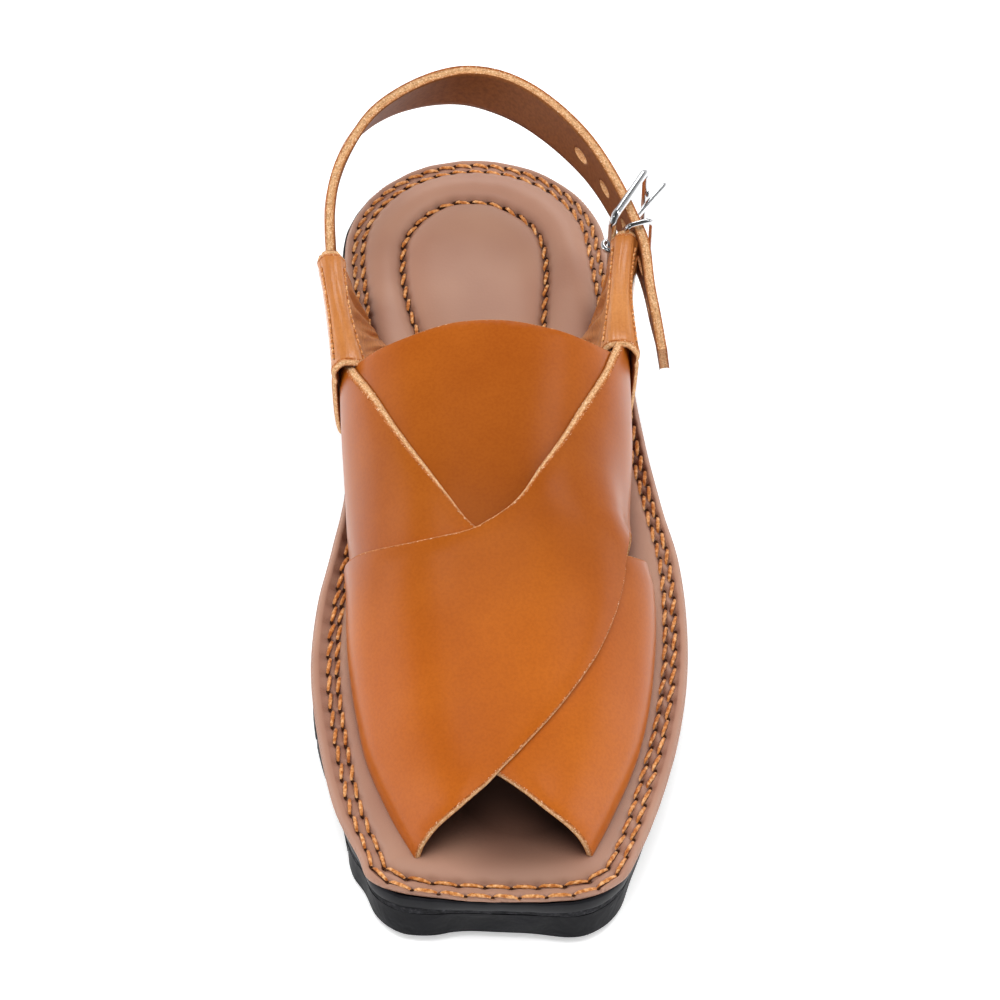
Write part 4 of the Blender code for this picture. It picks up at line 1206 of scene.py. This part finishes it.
def needle_holes(line, closed):
    """Places of the needle holes along a 2-D line: the stitches are longer round the toe than round the
    heel."""
    flat = as_array(line + (line[:1] if closed else []))
    gaps = np.linalg.norm(np.diff(flat, axis=0), axis=1)
    middle = (flat[1:] + flat[:-1]) / 2
    along = (0.5 - middle[:, 1] / LENGTH) * 100
    pitch = np.interp(along, (8, 35, 60, 92, 99), (5.3, 5.6, 6.2, 6.6, 7.6)) * MM
    run = np.concatenate([[0], np.cumsum(gaps / pitch)])
    count = round(run[-1])
    wanted = np.arange(count + (0 if closed else 1)) * run[-1] / count
    return np.stack([np.interp(wanted, run, flat[:, 0]), np.interp(wanted, run, flat[:, 1])], 1)


PAD_LINE = spline(on_plan(PAD_SEAM), 160)
SEAM_LINES = (
    ("outer_row", rim_row("outer"), True), ("inner_row", rim_row("inner"), True),
    ("heel_pad_row", PAD_LINE, False),
)
NEEDLE_HOLES = {name: needle_holes(line, closed) for name, line, closed in SEAM_LINES}


def hollow(gap, width):
    """1 on a line and falling away from it, for gaps in millimetres."""
    return np.exp(-((gap / width) ** 2))


def insole_relief(flat):
    """Height of the quilted cover over the flat footbed, for each 2-D point."""
    flat = as_array(flat)
    outer_line, inner_line, pad_line = (as_array(line) for _, line, _ in SEAM_LINES)
    rim_gap = distance(flat, RIM) / MM
    outer_gap = distance(flat, outer_line) / MM
    inner_gap = distance(flat, inner_line) / MM
    pad_gap = distance(flat, pad_line, closed=False) / MM
    within = inside(flat, inner_line)
    # the cover rolls over the board's edge, and bulges just inside it
    turned = np.clip(1 - rim_gap / 2.0, 0, 1)
    height = -1.9 * (1 - np.sqrt(np.clip(1 - turned ** 2, 0, 1)))
    height += 0.2 * hollow(rim_gap - 2.0, 0.9)
    # the two rows draw it down, and inside them the foam swells
    height -= 0.75 * hollow(outer_gap, 0.75)
    height -= 0.85 * hollow(inner_gap, 0.85)
    rise = np.clip(np.where(within, inner_gap, 0) / 8.0, 0, 1)
    height += 2.4 * rise * (2 - rise)
    # the heel pad's seam sinks deep, in a wide hollow
    height -= 2.0 * hollow(pad_gap, 1.6) + 1.5 * hollow(pad_gap, 5.5)
    # the turned edge is never quite even
    x, y = flat.T / MM
    wave = np.sin(0.31 * x + 0.23 * y) + np.sin(0.17 * x - 0.29 * y + 1.3)
    wave += 0.6 * np.sin(0.61 * x + 0.47 * y + 0.4)
    height += 0.12 * wave * hollow(rim_gap, 2.5)
    # each needle hole puckers it
    pucker = np.full(len(flat), np.inf)
    for holes in NEEDLE_HOLES.values():
        for hole in holes:
            pucker = np.minimum(pucker, ((flat - hole) ** 2).sum(1))
    height -= 0.75 * np.exp(-pucker / (1.3 * MM) ** 2)
    return height * MM


def cover_points():
    """Points of the cover's face: rows beside the rim and the seams, close where it is bent, and a grid
    between them."""
    rim_clear = 2.6 * MM
    found = []
    for inset in (0.15, 0.4, 0.8, 1.3, 1.9, 2.5):
        loop = as_array(outline(inset * MM))
        found.append(loop[distance(loop, RIM) > 0.93 * inset * MM][::2])
    outer, inner = (as_array(rim_row(name)) for name in ("outer", "inner"))
    for base, gaps in (
        (outer, (-0.45, 0.0, 0.5)), (inner, (-0.9, -0.45, 0.0, 0.5, 1.0, 1.6, 2.3, 3.2, 4.3)),
    ):
        run = np.roll(base, -1, 0) - np.roll(base, 1, 0)
        side = np.stack([run[:, 1], -run[:, 0]], 1) / np.linalg.norm(run, axis=1, keepdims=True)
        for gap in gaps:
            loop = base + side * gap * MM
            clear = (distance(loop, base) > 0.9 * abs(gap) * MM) & (distance(loop, RIM) > rim_clear)
            found.append(loop[clear])
    near = as_array(spline(PAD_LINE, 150))
    run = np.gradient(near, axis=0)
    run /= np.linalg.norm(run, axis=1, keepdims=True)
    side = np.stack([-run[:, 1], run[:, 0]], 1)
    gaps = (0.4, 0.9, 1.5, 2.2, 3.1, 4.2, 5.6)
    found += [near + side * gap * MM for gap in (*(-gap for gap in reversed(gaps)), 0, *gaps)]
    grid = chart_grid(RIM.min(0), RIM.max(0), 2.2 * MM)
    grid = grid[inside(grid, inner)]
    grid = grid[distance(grid, inner) > 5.2 * MM]
    found.append(grid[distance(grid, near, closed=False) > 6.6 * MM])
    return np.concatenate(found)


def insole():
    """Cover turned over the board, sewn through twice round the rim and once round the heel pad; its rim is
    drawn back a little at the toe."""
    points, cells, rim = filled(RIM, cover_points())
    heights = insole_relief(points)
    made = [Vector((p.x, p.y, footbed(p.y) + h)) for p, h in zip(points, heights)]
    for p, gap in zip(made, distance(points, RIM) / MM):
        p.y += TOE_DRAW * MM * smooth(95.5, 99.5, along_of(p.y)) * math.exp(-((gap / 2.2) ** 2))
    faces = [tuple(c) for c in cells]
    levels, size = [rim], len(rim)
    for tuck, drop in ((0.3, 2.3), (1.1, 2.7), (1.6, INSOLE_THICK / MM)):
        levels.append(list(range(len(made), len(made) + size)))
        for i in rim:
            away = OUTWARD[nearest(made[i])].to_3d() * tuck * MM
            made.append(Vector((made[i].x, made[i].y, footbed(made[i].y) - drop * MM)) - away)
    for top, low in zip(levels, levels[1:]):
        faces += [(top[i], low[i], low[(i + 1) % size], top[(i + 1) % size]) for i in range(size)]
    faces.append(tuple(reversed(levels[-1])))
    cover = piece("insole_cover", made, faces, (LINING,), sharp=60, of=("insole",))


# Stitches

def stitch_mesh():
    """One stitch of two-ply thread, its ends drawn down into the holes: 1 long, its thread 1 wide."""
    sides, steps = 9, 9
    half = 0.54  # a little over half a stitch, so that its ends dip into the holes
    points, faces = [], []
    for s in range(steps):
        x = -half + 2 * half * s / (steps - 1)
        far = abs(x) / half
        rise = 0.42 - 1.15 * far ** 5
        thick = 0.5 * (1 - 0.68 * far ** 2.4)
        for k in range(sides):
            a = 2 * math.pi * k / sides
            ply = 1 + 0.17 * math.cos(2 * (a - x * 9.0))
            points.append((x, math.cos(a) * thick * ply, rise + math.sin(a) * thick * ply * 0.85))
    for s in range(steps - 1):
        for k in range(sides):
            a, b = s * sides, (s + 1) * sides
            faces.append((a + k, b + k, b + (k + 1) % sides, a + (k + 1) % sides))
    faces.append(tuple(range(sides)))
    faces.append(tuple(reversed([(steps - 1) * sides + k for k in range(sides)])))
    data = bpy.data.meshes.new("stitch")
    data.from_pydata(points, [], [f[::-1] for f in faces])
    data.shade_smooth()
    return data


def hole_mesh():
    """A small dished disc, 1 across, that carries the painted shade of a needle hole."""
    sides = 8
    turns = [2 * math.pi * k / sides for k in range(sides)]
    points = [(0, 0, -0.1)] + [(0.5 * math.cos(turn), 0.5 * math.sin(turn), 0) for turn in turns]
    data = bpy.data.meshes.new("awl_hole_shade")
    data.from_pydata(points, [], [(0, 1 + k, 1 + (k + 1) % sides) for k in range(sides)])
    data.shade_smooth()
    return data


def row_tree():
    """Geometry Nodes: a copy of one small mesh at every vertex of a guide, turned along the guide's "ahead",
    standing on its "away" and as long as its "reach"."""
    tree = bpy.data.node_groups.new("seam_row", "GeometryNodeTree")
    face = tree.interface
    face.new_socket("Geometry", in_out="INPUT", socket_type="NodeSocketGeometry")
    for label, kind in (
        ("Width", "NodeSocketFloat"), ("Slant", "NodeSocketFloat"), ("Wander", "NodeSocketFloat"),
        ("Seed", "NodeSocketInt"), ("Shape", "NodeSocketObject"), ("Finish", "NodeSocketMaterial"),
    ):
        face.new_socket(label, in_out="INPUT", socket_type=kind)
    face.new_socket("Geometry", in_out="OUTPUT", socket_type="NodeSocketGeometry")
    given = add(tree, "NodeGroupInput").outputs
    ahead = add(tree, "GeometryNodeInputNamedAttribute", {"Name": "ahead"}, data_type="FLOAT_VECTOR")
    away = add(tree, "GeometryNodeInputNamedAttribute", {"Name": "away"}, data_type="FLOAT_VECTOR")
    reach = add(tree, "GeometryNodeInputNamedAttribute", {"Name": "reach"}, data_type="FLOAT")
    facing = add(tree, "FunctionNodeAlignRotationToVector", {"Vector": ahead}, axis="X")
    standing = add(
        tree, "FunctionNodeAlignRotationToVector", {"Rotation": facing, "Vector": away}, axis="Z",
        pivot_axis="X",
    )
    low = add(tree, "ShaderNodeMath", {0: given["Wander"], 1: -1.0}, operation="MULTIPLY")
    drift = add(
        tree, "FunctionNodeRandomValue", {"Min": low, "Max": given["Wander"], "Seed": given["Seed"]},
        data_type="FLOAT",
    )
    angle = add(tree, "ShaderNodeMath", {0: given["Slant"], 1: drift}, operation="ADD")
    turn = add(tree, "ShaderNodeCombineXYZ", {"Z": angle})
    turned = add(
        tree, "FunctionNodeRotateRotation", {"Rotation": standing, "Rotate By": turn}, rotation_space="LOCAL"
    )
    size = add(tree, "ShaderNodeCombineXYZ", {"X": reach, "Y": given["Width"], "Z": given["Width"]})
    shape = add(tree, "GeometryNodeObjectInfo", {"Object": given["Shape"]})
    placed = add(
        tree, "GeometryNodeInstanceOnPoints",
        {
            "Points": given["Geometry"], "Instance": shape.outputs["Geometry"], "Rotation": turned,
            "Scale": size,
        },
    )
    real = add(tree, "GeometryNodeRealizeInstances", {"Geometry": placed})
    dressed = add(tree, "GeometryNodeSetMaterial", {"Geometry": real, "Material": given["Finish"]})
    add(tree, "NodeGroupOutput", {"Geometry": dressed})
    return tree


ROW_TREE = row_tree()
STITCH = carrier("stitch_pattern", stitch_mesh())
DISC = carrier("hole_pattern", hole_mesh())


def seam_row(name, spots, ahead, away, reach, width, seed, slant=0.0, wander=4.0, shape=None, finish=None):
    """One small mesh at each spot, turned along ahead and standing on away; slant and wander in degrees."""
    data = bpy.data.meshes.new(name)
    data.from_pydata([tuple(Vector(p) + PLACE) for p in spots], [], [])
    for label, rows in (("ahead", ahead), ("away", away)):
        field = data.attributes.new(label, "FLOAT_VECTOR", "POINT")
        field.data.foreach_set("vector", np.array([tuple(v) for v in rows], np.float32).ravel())
    field = data.attributes.new("reach", "FLOAT", "POINT")
    field.data.foreach_set("value", np.array(reach, np.float32))
    made = carrier(name, data)
    maker = made.modifiers.new("row", "NODES")
    maker.node_group = ROW_TREE
    values = {
        "Width": width, "Slant": math.radians(slant), "Wander": math.radians(wander), "Seed": seed,
        "Shape": shape or STITCH, "Finish": finish or THREAD,
    }
    for item in ROW_TREE.interface.items_tree:
        if item.in_out == "INPUT" and item.name in values:
            maker[item.identifier] = values[item.name]
    bake(made)
    made.data.shade_smooth()
    return made


def sewn(name, holes, away, closed, width, seed, slant=None):
    """Stitches from each hole to the next, and dark discs of painted shade in the holes: (threads, shades).
    Without a slant of their own, stitches lie more aslant round the heel than round the toe."""
    holes = [Vector(p) for p in holes]
    ends = holes[1:] + (holes[:1] if closed else [])
    starts = holes if closed else holes[:-1]
    ahead = [(b - a).normalized() for a, b in zip(starts, ends)]
    if slant is None:
        turns = [
            math.radians(np.interp(along_of(p.y), (10, 60, 90, 97), (-15, -12, -10, -4))) for p in starts
        ]
        ahead = [v * math.cos(t) + n.cross(v) * math.sin(t) for v, n, t in zip(ahead, away, turns)]
        slant = 0.0
    threads = seam_row(
        name, [(a + b) / 2 for a, b in zip(starts, ends)], ahead, away[:len(starts)],
        [(b - a).length for a, b in zip(starts, ends)], width, seed, slant,
    )
    along = ahead if closed else ahead + ahead[-1:]
    aside = [  # where the holes show beside the threads
        p + v.cross(n).normalized() * -0.35 * width + n * 0.15 * width for p, v, n in zip(holes, along, away)
    ]
    # dark discs of painted shade in the needle holes
    shades = seam_row(
        name + "_holes", aside, along, away, [1.15 * width] * len(holes), 0.8 * width, seed + 20, 25.0,
        wander=15.0, shape=DISC, finish=HOLE_SHADE,
    )
    return threads, shades


def joined(name, parts):
    """Several pieces made one mesh."""
    shape = bmesh.new()
    materials = []
    for part in parts:
        first = len(shape.faces)
        slot_of = []
        for made in part.data.materials:
            if made not in materials:
                materials.append(made)
            slot_of.append(materials.index(made))
        shape.from_mesh(part.data)
        shape.faces.ensure_lookup_table()
        for face in shape.faces[first:]:
            face.material_index = slot_of[face.material_index] if slot_of else 0
    data = bpy.data.meshes.new(name)
    shape.to_mesh(data)
    shape.free()
    for made in materials:
        data.materials.append(made)
    for part in parts:
        bpy.data.objects.remove(part)
    return carrier(name, data)


def insole_stitches():
    """Stitches of the two rim rows and of the heel pad's seam, and the painted shade in their needle holes.
    """
    threads, shades = [], []
    for seed, (name, _, closed) in enumerate(SEAM_LINES, start=11):
        flat = NEEDLE_HOLES[name]
        middle = (flat + np.roll(flat, -1, 0)) / 2
        crests = insole_relief(middle)
        if not closed:
            crests[-1] = crests[-2]
        holes = [(x, y, footbed(y) + (h + g) / 2) for (x, y), h, g in zip(flat, crests, np.roll(crests, 1))]
        made = sewn(name, holes, [Vector((0, 0, 1))] * len(holes), closed, THREAD_WIDTH, seed)
        threads.append(made[0])
        shades.append(made[1])
    settle(joined("insole_stitches", threads))
    settle(joined("insole_needle_holes", shades))


# Sole

def foot_shift(i):
    """Where the sole's foot goes from point i of the outline."""
    point, along = FOOTBED[i], along_of(FOOTBED[i].y)
    if along < UNDERCUT["along"][0]:
        return Vector((0, 0))
    share = smooth(-12 * MM, 12 * MM, point.x)  # of the lateral side's values
    columns = ("medial", "lateral", "across", "ahead")
    medial, lateral, across, ahead = (read(UNDERCUT, column, along) for column in columns)
    middle = math.exp(-(((point.x - 2 * MM) / (17 * MM)) ** 4))
    rolled = TOE_ROLL * smooth(99.2, 100.1, along) * middle
    worn = Vector((across * (1 - share), -ahead * (1 - share) - 0.4 * share * smooth(99, 100, along)))
    worn.y += max(0.0, rolled + min(0.0, ahead) * (1 - share))
    return (worn - OUTWARD[i] * (medial + (lateral - medial) * share)) * MM


FOOT_SHIFT = [foot_shift(i) for i in range(OUTLINE_POINTS)]


def midsole():
    """Foam wedge with a smooth strip standing round its top against the insole."""
    foam, strip = range(2)
    rows = (  # inset in millimetres, share of the foot's shift, height over y, slot of the faces above
        (0.0, 0.62, lambda y: outsole_top(y) + 0.02 * MM, foam),
        (-0.1, 0.6, lambda y: outsole_top(y) + 0.4 * MM, foam),
        (0.0, 0.5, lambda y: (outsole_top(y) + midsole_top(y)) / 2, foam),
        (0.1, 0.4, lambda y: midsole_top(y) - RAND_HEIGHT - 0.4 * MM, foam),
        (0.0, 0.4, lambda y: midsole_top(y) - RAND_HEIGHT - 0.1 * MM, strip),
        (-0.1, 0.3, lambda y: midsole_top(y) - RAND_HEIGHT + 0.4 * MM, strip),
        (0.0, 0.2, lambda y: midsole_top(y) + RAND_RISE - 0.5 * MM, strip),
        (0.25, 0.2, lambda y: midsole_top(y) + RAND_RISE - 0.1 * MM, strip),
        (0.7, 0.1, lambda y: midsole_top(y) + RAND_RISE, strip),
        (2.4, 0.0, lambda y: midsole_top(y) - 0.2 * MM, strip),
    )
    points, faces, slots = [], [], []
    for inset, share, height, _ in rows:
        outside = inset < 1
        for i, p in enumerate(FOOTBED):
            medial_heel = (1 - smooth(40, 55, along_of(p.y))) * (1 - smooth(-20 * MM, 5 * MM, p.x))
            collar = inset + (0.35 - 1.0 * medial_heel if outside else 0)
            spot = p - OUTWARD[i] * collar * MM + FOOT_SHIFT[i] * share
            turn = i * math.tau / OUTLINE_POINTS
            uneven = 0.16 * math.sin(turn * 31) + 0.1 * math.sin(turn * 83)
            points.append(Vector((spot.x, spot.y, height(p.y) + (uneven * MM if outside else 0))))
    for level, row in enumerate(rows[:-1]):
        a, b = level * OUTLINE_POINTS, (level + 1) * OUTLINE_POINTS
        for i in range(OUTLINE_POINTS):
            j = (i + 1) % OUTLINE_POINTS
            faces.append((a + j, a + i, b + i, b + j))
            slots.append(row[3])
    faces.append(tuple(range(OUTLINE_POINTS)))
    faces.append(tuple(reversed(range((len(rows) - 1) * OUTLINE_POINTS, len(rows) * OUTLINE_POINTS))))
    slots += [foam, strip]
    piece("foam_wedge", points, faces, (FOAM, RAND), slots, sharp=60, of=("midsole",))


GROOVE = 2.8 * MM
ROWS = (0.27, 0.50, 0.73)  # the long grooves, as shares of the width from the medial side
LUG_PITCH = 21.5 * MM
TREAD_INSET = 2.0 * MM  # of the rim that the grooves are drawn to, before they run out to the side
SIPE = 0.55 * MM
SIPE_HEIGHT = 2.0 * MM  # of a sipe's bottom over the tread's face
SIPE_SWING = 1.5 * MM
TOE_BUMPER = -0.455 * LENGTH  # y, ahead of which the tread is plain


def tread_grooves():
    """Closed 2-D strips of the tread's grooves and of the fine zigzag sipes between them."""
    high = 0.56 * LENGTH

    def x_at(y, share):
        """X at that share of the width, carried on straight past the toe and the heel."""
        y = max(-0.47 * LENGTH, min(0.42 * LENGTH, y))
        return edge_x(y, -1) * (1 - share) + edge_x(y, 1) * share

    grooves, sipes = [], []
    for share in ROWS:
        places = (TOE_BUMPER + (high - TOE_BUMPER) * i / 24 for i in range(25))
        middle = [Vector((x_at(y, share), y)) for y in places]
        half = Vector((GROOVE / 2, 0))
        grooves.append([p - half for p in middle] + [p + half for p in reversed(middle)])
    count = int(LENGTH / LUG_PITCH) + 2
    bands = (  # start and end as shares of the width, slant, and offset as a share of the pitch
        (-0.15, ROWS[0], -0.62, 0.0), (ROWS[0], ROWS[1], 0.22, 0.35), (ROWS[1], ROWS[2], 0.22, 0.70),
        (ROWS[2], 1.15, 0.62, 0.15),
    )
    for start, end, slant, offset in bands:
        for k in range(-1, count):
            y = -LENGTH / 2 + (k + offset) * LUG_PITCH
            a, b = x_at(y, start), x_at(y, end)
            ends = Vector((a, y)), Vector((b, y + slant * (b - a)))
            if min(y, y + slant * (b - a)) < TOE_BUMPER:
                continue
            half = Vector((0, GROOVE * 0.55))
            grooves.append([ends[0] - half, ends[1] - half, ends[1] + half, ends[0] + half])
            for share in (0.25, 0.5, 0.75):
                shift = Vector((0, LUG_PITCH * share))
                teeth = 10
                line = []
                for t in range(teeth + 1):
                    swing = Vector((0, (0.5 if t % 2 else -0.5) * SIPE_SWING))
                    line.append(ends[0].lerp(ends[1], 0.12 + 0.76 * t / teeth) + shift + swing)
                thin = Vector((0, SIPE / 2))
                sipes.append([p - thin for p in line] + [p + thin for p in reversed(line)])
    return grooves, sipes


def outsole():
    """Rubber slab with lugs; its grooves run out through the side and its sipes cut the lugs.  Every cell of
    the plan reaches from the slab's top down to its own level: the top itself (0) outside the rim, a groove's
    bottom (1), a sipe's (2) or the tread's face (3)."""
    top, groove, sipe, face = range(4)
    rim = wound(outline(TREAD_INSET)[::2])
    flat_rim = as_array(rim)
    grooves, sipes = tread_grooves()
    sipes = [s for s in sipes if inside(s, flat_rim).all() and distance(s, flat_rim).min() > 1.6 * MM]
    patches = [rim] + [wound(p) for p in grooves + sipes]
    corners = [p for patch in patches for p in patch]
    faces, first = [], 0
    for patch in patches:
        faces.append(list(range(first, first + len(patch))))
        first += len(patch)
    points, _, cells, _, _, owners = delaunay_2d_cdt(corners, [], faces, 1, 1e-8)
    groove_ids = set(range(1, 1 + len(grooves)))
    gap = distance(points, flat_rim)
    drawn_in = {top: (0.2 * MM, 0.6), groove: (0.9 * MM, 0.85), sipe: (0.6 * MM, 0.95), face: (0.0, 1.0)}
    heights = {
        top: outsole_top,
        groove: lambda y: ground(y) + TREAD_DEPTH,
        sipe: lambda y: ground(y) + SIPE_HEIGHT,
        face: ground,
    }
    levels = []
    for owner in owners:
        owner = set(owner)
        if 0 not in owner:
            levels.append(top)
        elif owner & groove_ids:
            levels.append(groove)
        elif len(owner) > 1:
            levels.append(sipe)
        else:
            levels.append(face)
    mesh_points, numbers = [], {}

    def vertex(i, level):
        """Number of the vertex over point i of the plan at that level, drawn out to the sole's side on the
        rim."""
        if (i, level) not in numbers:
            spot = points[i].copy()
            if gap[i] < 0.05 * MM:
                at = nearest(spot)
                drawn, share = drawn_in[level]
                spot += OUTWARD[at] * (TREAD_INSET - drawn) + FOOT_SHIFT[at] * share
            numbers[i, level] = len(mesh_points)
            mesh_points.append(Vector((spot.x, spot.y, heights[level](spot.y))))
        return numbers[i, level]

    made, edges, met = [], {}, {}
    for cell, level in zip(cells, levels):
        if level == top:
            continue
        made.append([vertex(i, top) for i in cell])
        made.append([vertex(i, level) for i in reversed(cell)])
        for a, b in zip(cell, cell[1:] + cell[:1]):
            edges.setdefault((min(a, b), max(a, b)), []).append(level)
            met.setdefault(a, set()).add(level)
    for ends, sides in edges.items():
        if len(sides) == 1:
            sides.append(top)
            for i in ends:
                met[i].add(top)
    for (a, b), (low, high) in ((ends, sorted(sides)) for ends, sides in edges.items()):
        if low < high:
            rise_a, rise_b = ([vertex(i, n) for n in sorted(met[i]) if low <= n <= high] for i in (a, b))
            made.append(rise_a + rise_b[::-1])
    data = bpy.data.meshes.new("tread_sole")
    data.from_pydata([tuple(p + PLACE) for p in mesh_points], [], [tuple(f) for f in made])
    faced_out(data)
    data.materials.append(TYRE)
    data.shade_smooth()
    data.set_sharp_from_angle(angle=math.radians(32))
    settle(carrier("tread_sole", data), ("outsole",))


# Stage

FLOOR_SIDE = 12.0
LAMP_AIM = Vector((0, 0, 0.03))
LAMPS = (  # name, place and sides in metres, watts, whether the gloss shows it
    ("overhead", (-0.13, -0.28, 1.45), (1.0, 1.0), 16.2, False),
    ("front_fill", (-0.2, -1.2, 0.9), (1.0, 1.0), 2.6, False),
    ("left_box", (-1.3, 0.1, 0.45), (0.8, 0.8), 3.2, False),
    ("right_box", (1.3, 0.0, 0.5), (0.8, 0.8), 4.2, False),
    ("left_strip", (-1.0, 0.1, 0.1), (0.18, 1.2), 1.5, True),
    ("right_strip", (1.0, 0.1, 0.1), (0.18, 1.2), 1.5, True),
    ("left_glint", (-0.6, -0.2, 1.3), (0.3, 0.3), 0.9, True),
    ("right_glint", (0.7, 0.3, 1.1), (0.4, 0.4), 1.5, True),
    ("rear_glint", (0.1, 1.1, 0.9), (0.6, 0.3), 2.8, True),
)
CAMERA_EYE = Vector((-40.5, -1120.1, 1263.3)) * MM
CAMERA_AIM = Vector((6.3, 20.3, 8.0)) * MM
CAMERA_TILT = math.radians(48)
CAMERA_SENSOR, CAMERA_LENS = 36, 201.7  # in millimetres


def floor():
    """A wide white card under the shoe."""
    far = FLOOR_SIDE / 2
    data = bpy.data.meshes.new("floor")
    data.from_pydata([(-far, -far, 0), (far, -far, 0), (far, far, 0), (-far, far, 0)], [], [(0, 1, 2, 3)])
    data.materials.append(studio_floor())
    carrier("floor", data)


def room():
    """A white room, bright low down and behind, dark overhead and in front."""
    world = bpy.data.worlds.new("studio")
    bpy.context.scene.world = world
    world.use_nodes = True
    tree = world.node_tree
    toward = add(tree, "ShaderNodeTexCoord")
    parts = add(tree, "ShaderNodeSeparateXYZ", {"Vector": toward.outputs["Generated"]})
    greys = ((0.0, "#FFFFFF"), (0.3, "#E6E6E6"), (0.65, "#8C8C8C"), (1.0, "#505050"))
    rise = add(tree, "ShaderNodeValToRGB", {"Fac": parts.outputs["Z"]}, stops=greys)
    back = add(tree, "ShaderNodeMapRange", {"Value": parts.outputs["Y"], "From Min": -1.0, "From Max": 0.3})
    depth = add(tree, "ShaderNodeValToRGB", {"Fac": back}, stops=((0.0, "#505050"), (1.0, "#FFFFFF")))
    walls = add(tree, "ShaderNodeMix", {SHARE: 1.0, UNDER: rise, OVER: depth}, **MULTIPLY)
    feed(tree, tree.nodes["Background"], {"Color": walls, "Strength": 0.9})


def lamps():
    """Soft boxes that light the leather, and small ones for its gloss."""
    for name, where, sides, power, gloss in LAMPS:
        data = bpy.data.lights.new(name, "AREA")
        data.shape = "RECTANGLE"
        data.size, data.size_y = sides
        data.energy = power
        lamp = carrier(name, data)
        lamp.location = where
        lamp.rotation_mode = "QUATERNION"
        lamp.rotation_quaternion = (LAMP_AIM - Vector(where)).to_track_quat("-Z", "Y")
        lamp.visible_glossy = gloss


def camera():
    """Looks down on the shoe, level across, and is then swung to the shoe."""
    eye, aim = PLACE + CAMERA_EYE, PLACE + CAMERA_AIM
    level = Vector((0, math.cos(CAMERA_TILT), -math.sin(CAMERA_TILT)))
    data = bpy.data.cameras.new("camera")
    data.sensor_width = CAMERA_SENSOR
    data.lens = CAMERA_LENS
    made = carrier("camera", data)
    made.location = eye
    made.rotation_mode = "QUATERNION"
    made.rotation_quaternion = level.rotation_difference(aim - eye) @ level.to_track_quat("-Z", "Y")
    bpy.context.scene.camera = made
    bpy.context.scene.view_settings.view_transform = "Standard"


def main():
    """Makes every piece, then the floor, the light and the camera."""
    over, under, vamp = strap_cuts()
    draped("vamp_piece", vamp, (over, under), 1, 0)
    draped("under_strap", under, (over,), 2, -1)
    draped("over_strap", over, (), 3, 1)
    for name, (side, sections) in EARS.items():
        ear(name, side, sections)
    heel_strap()
    buckle()
    insole()
    insole_stitches()
    midsole()
    outsole()
    for pattern in (STITCH, DISC):
        bpy.data.objects.remove(pattern)
    floor()
    room()
    lamps()
    camera()


main()
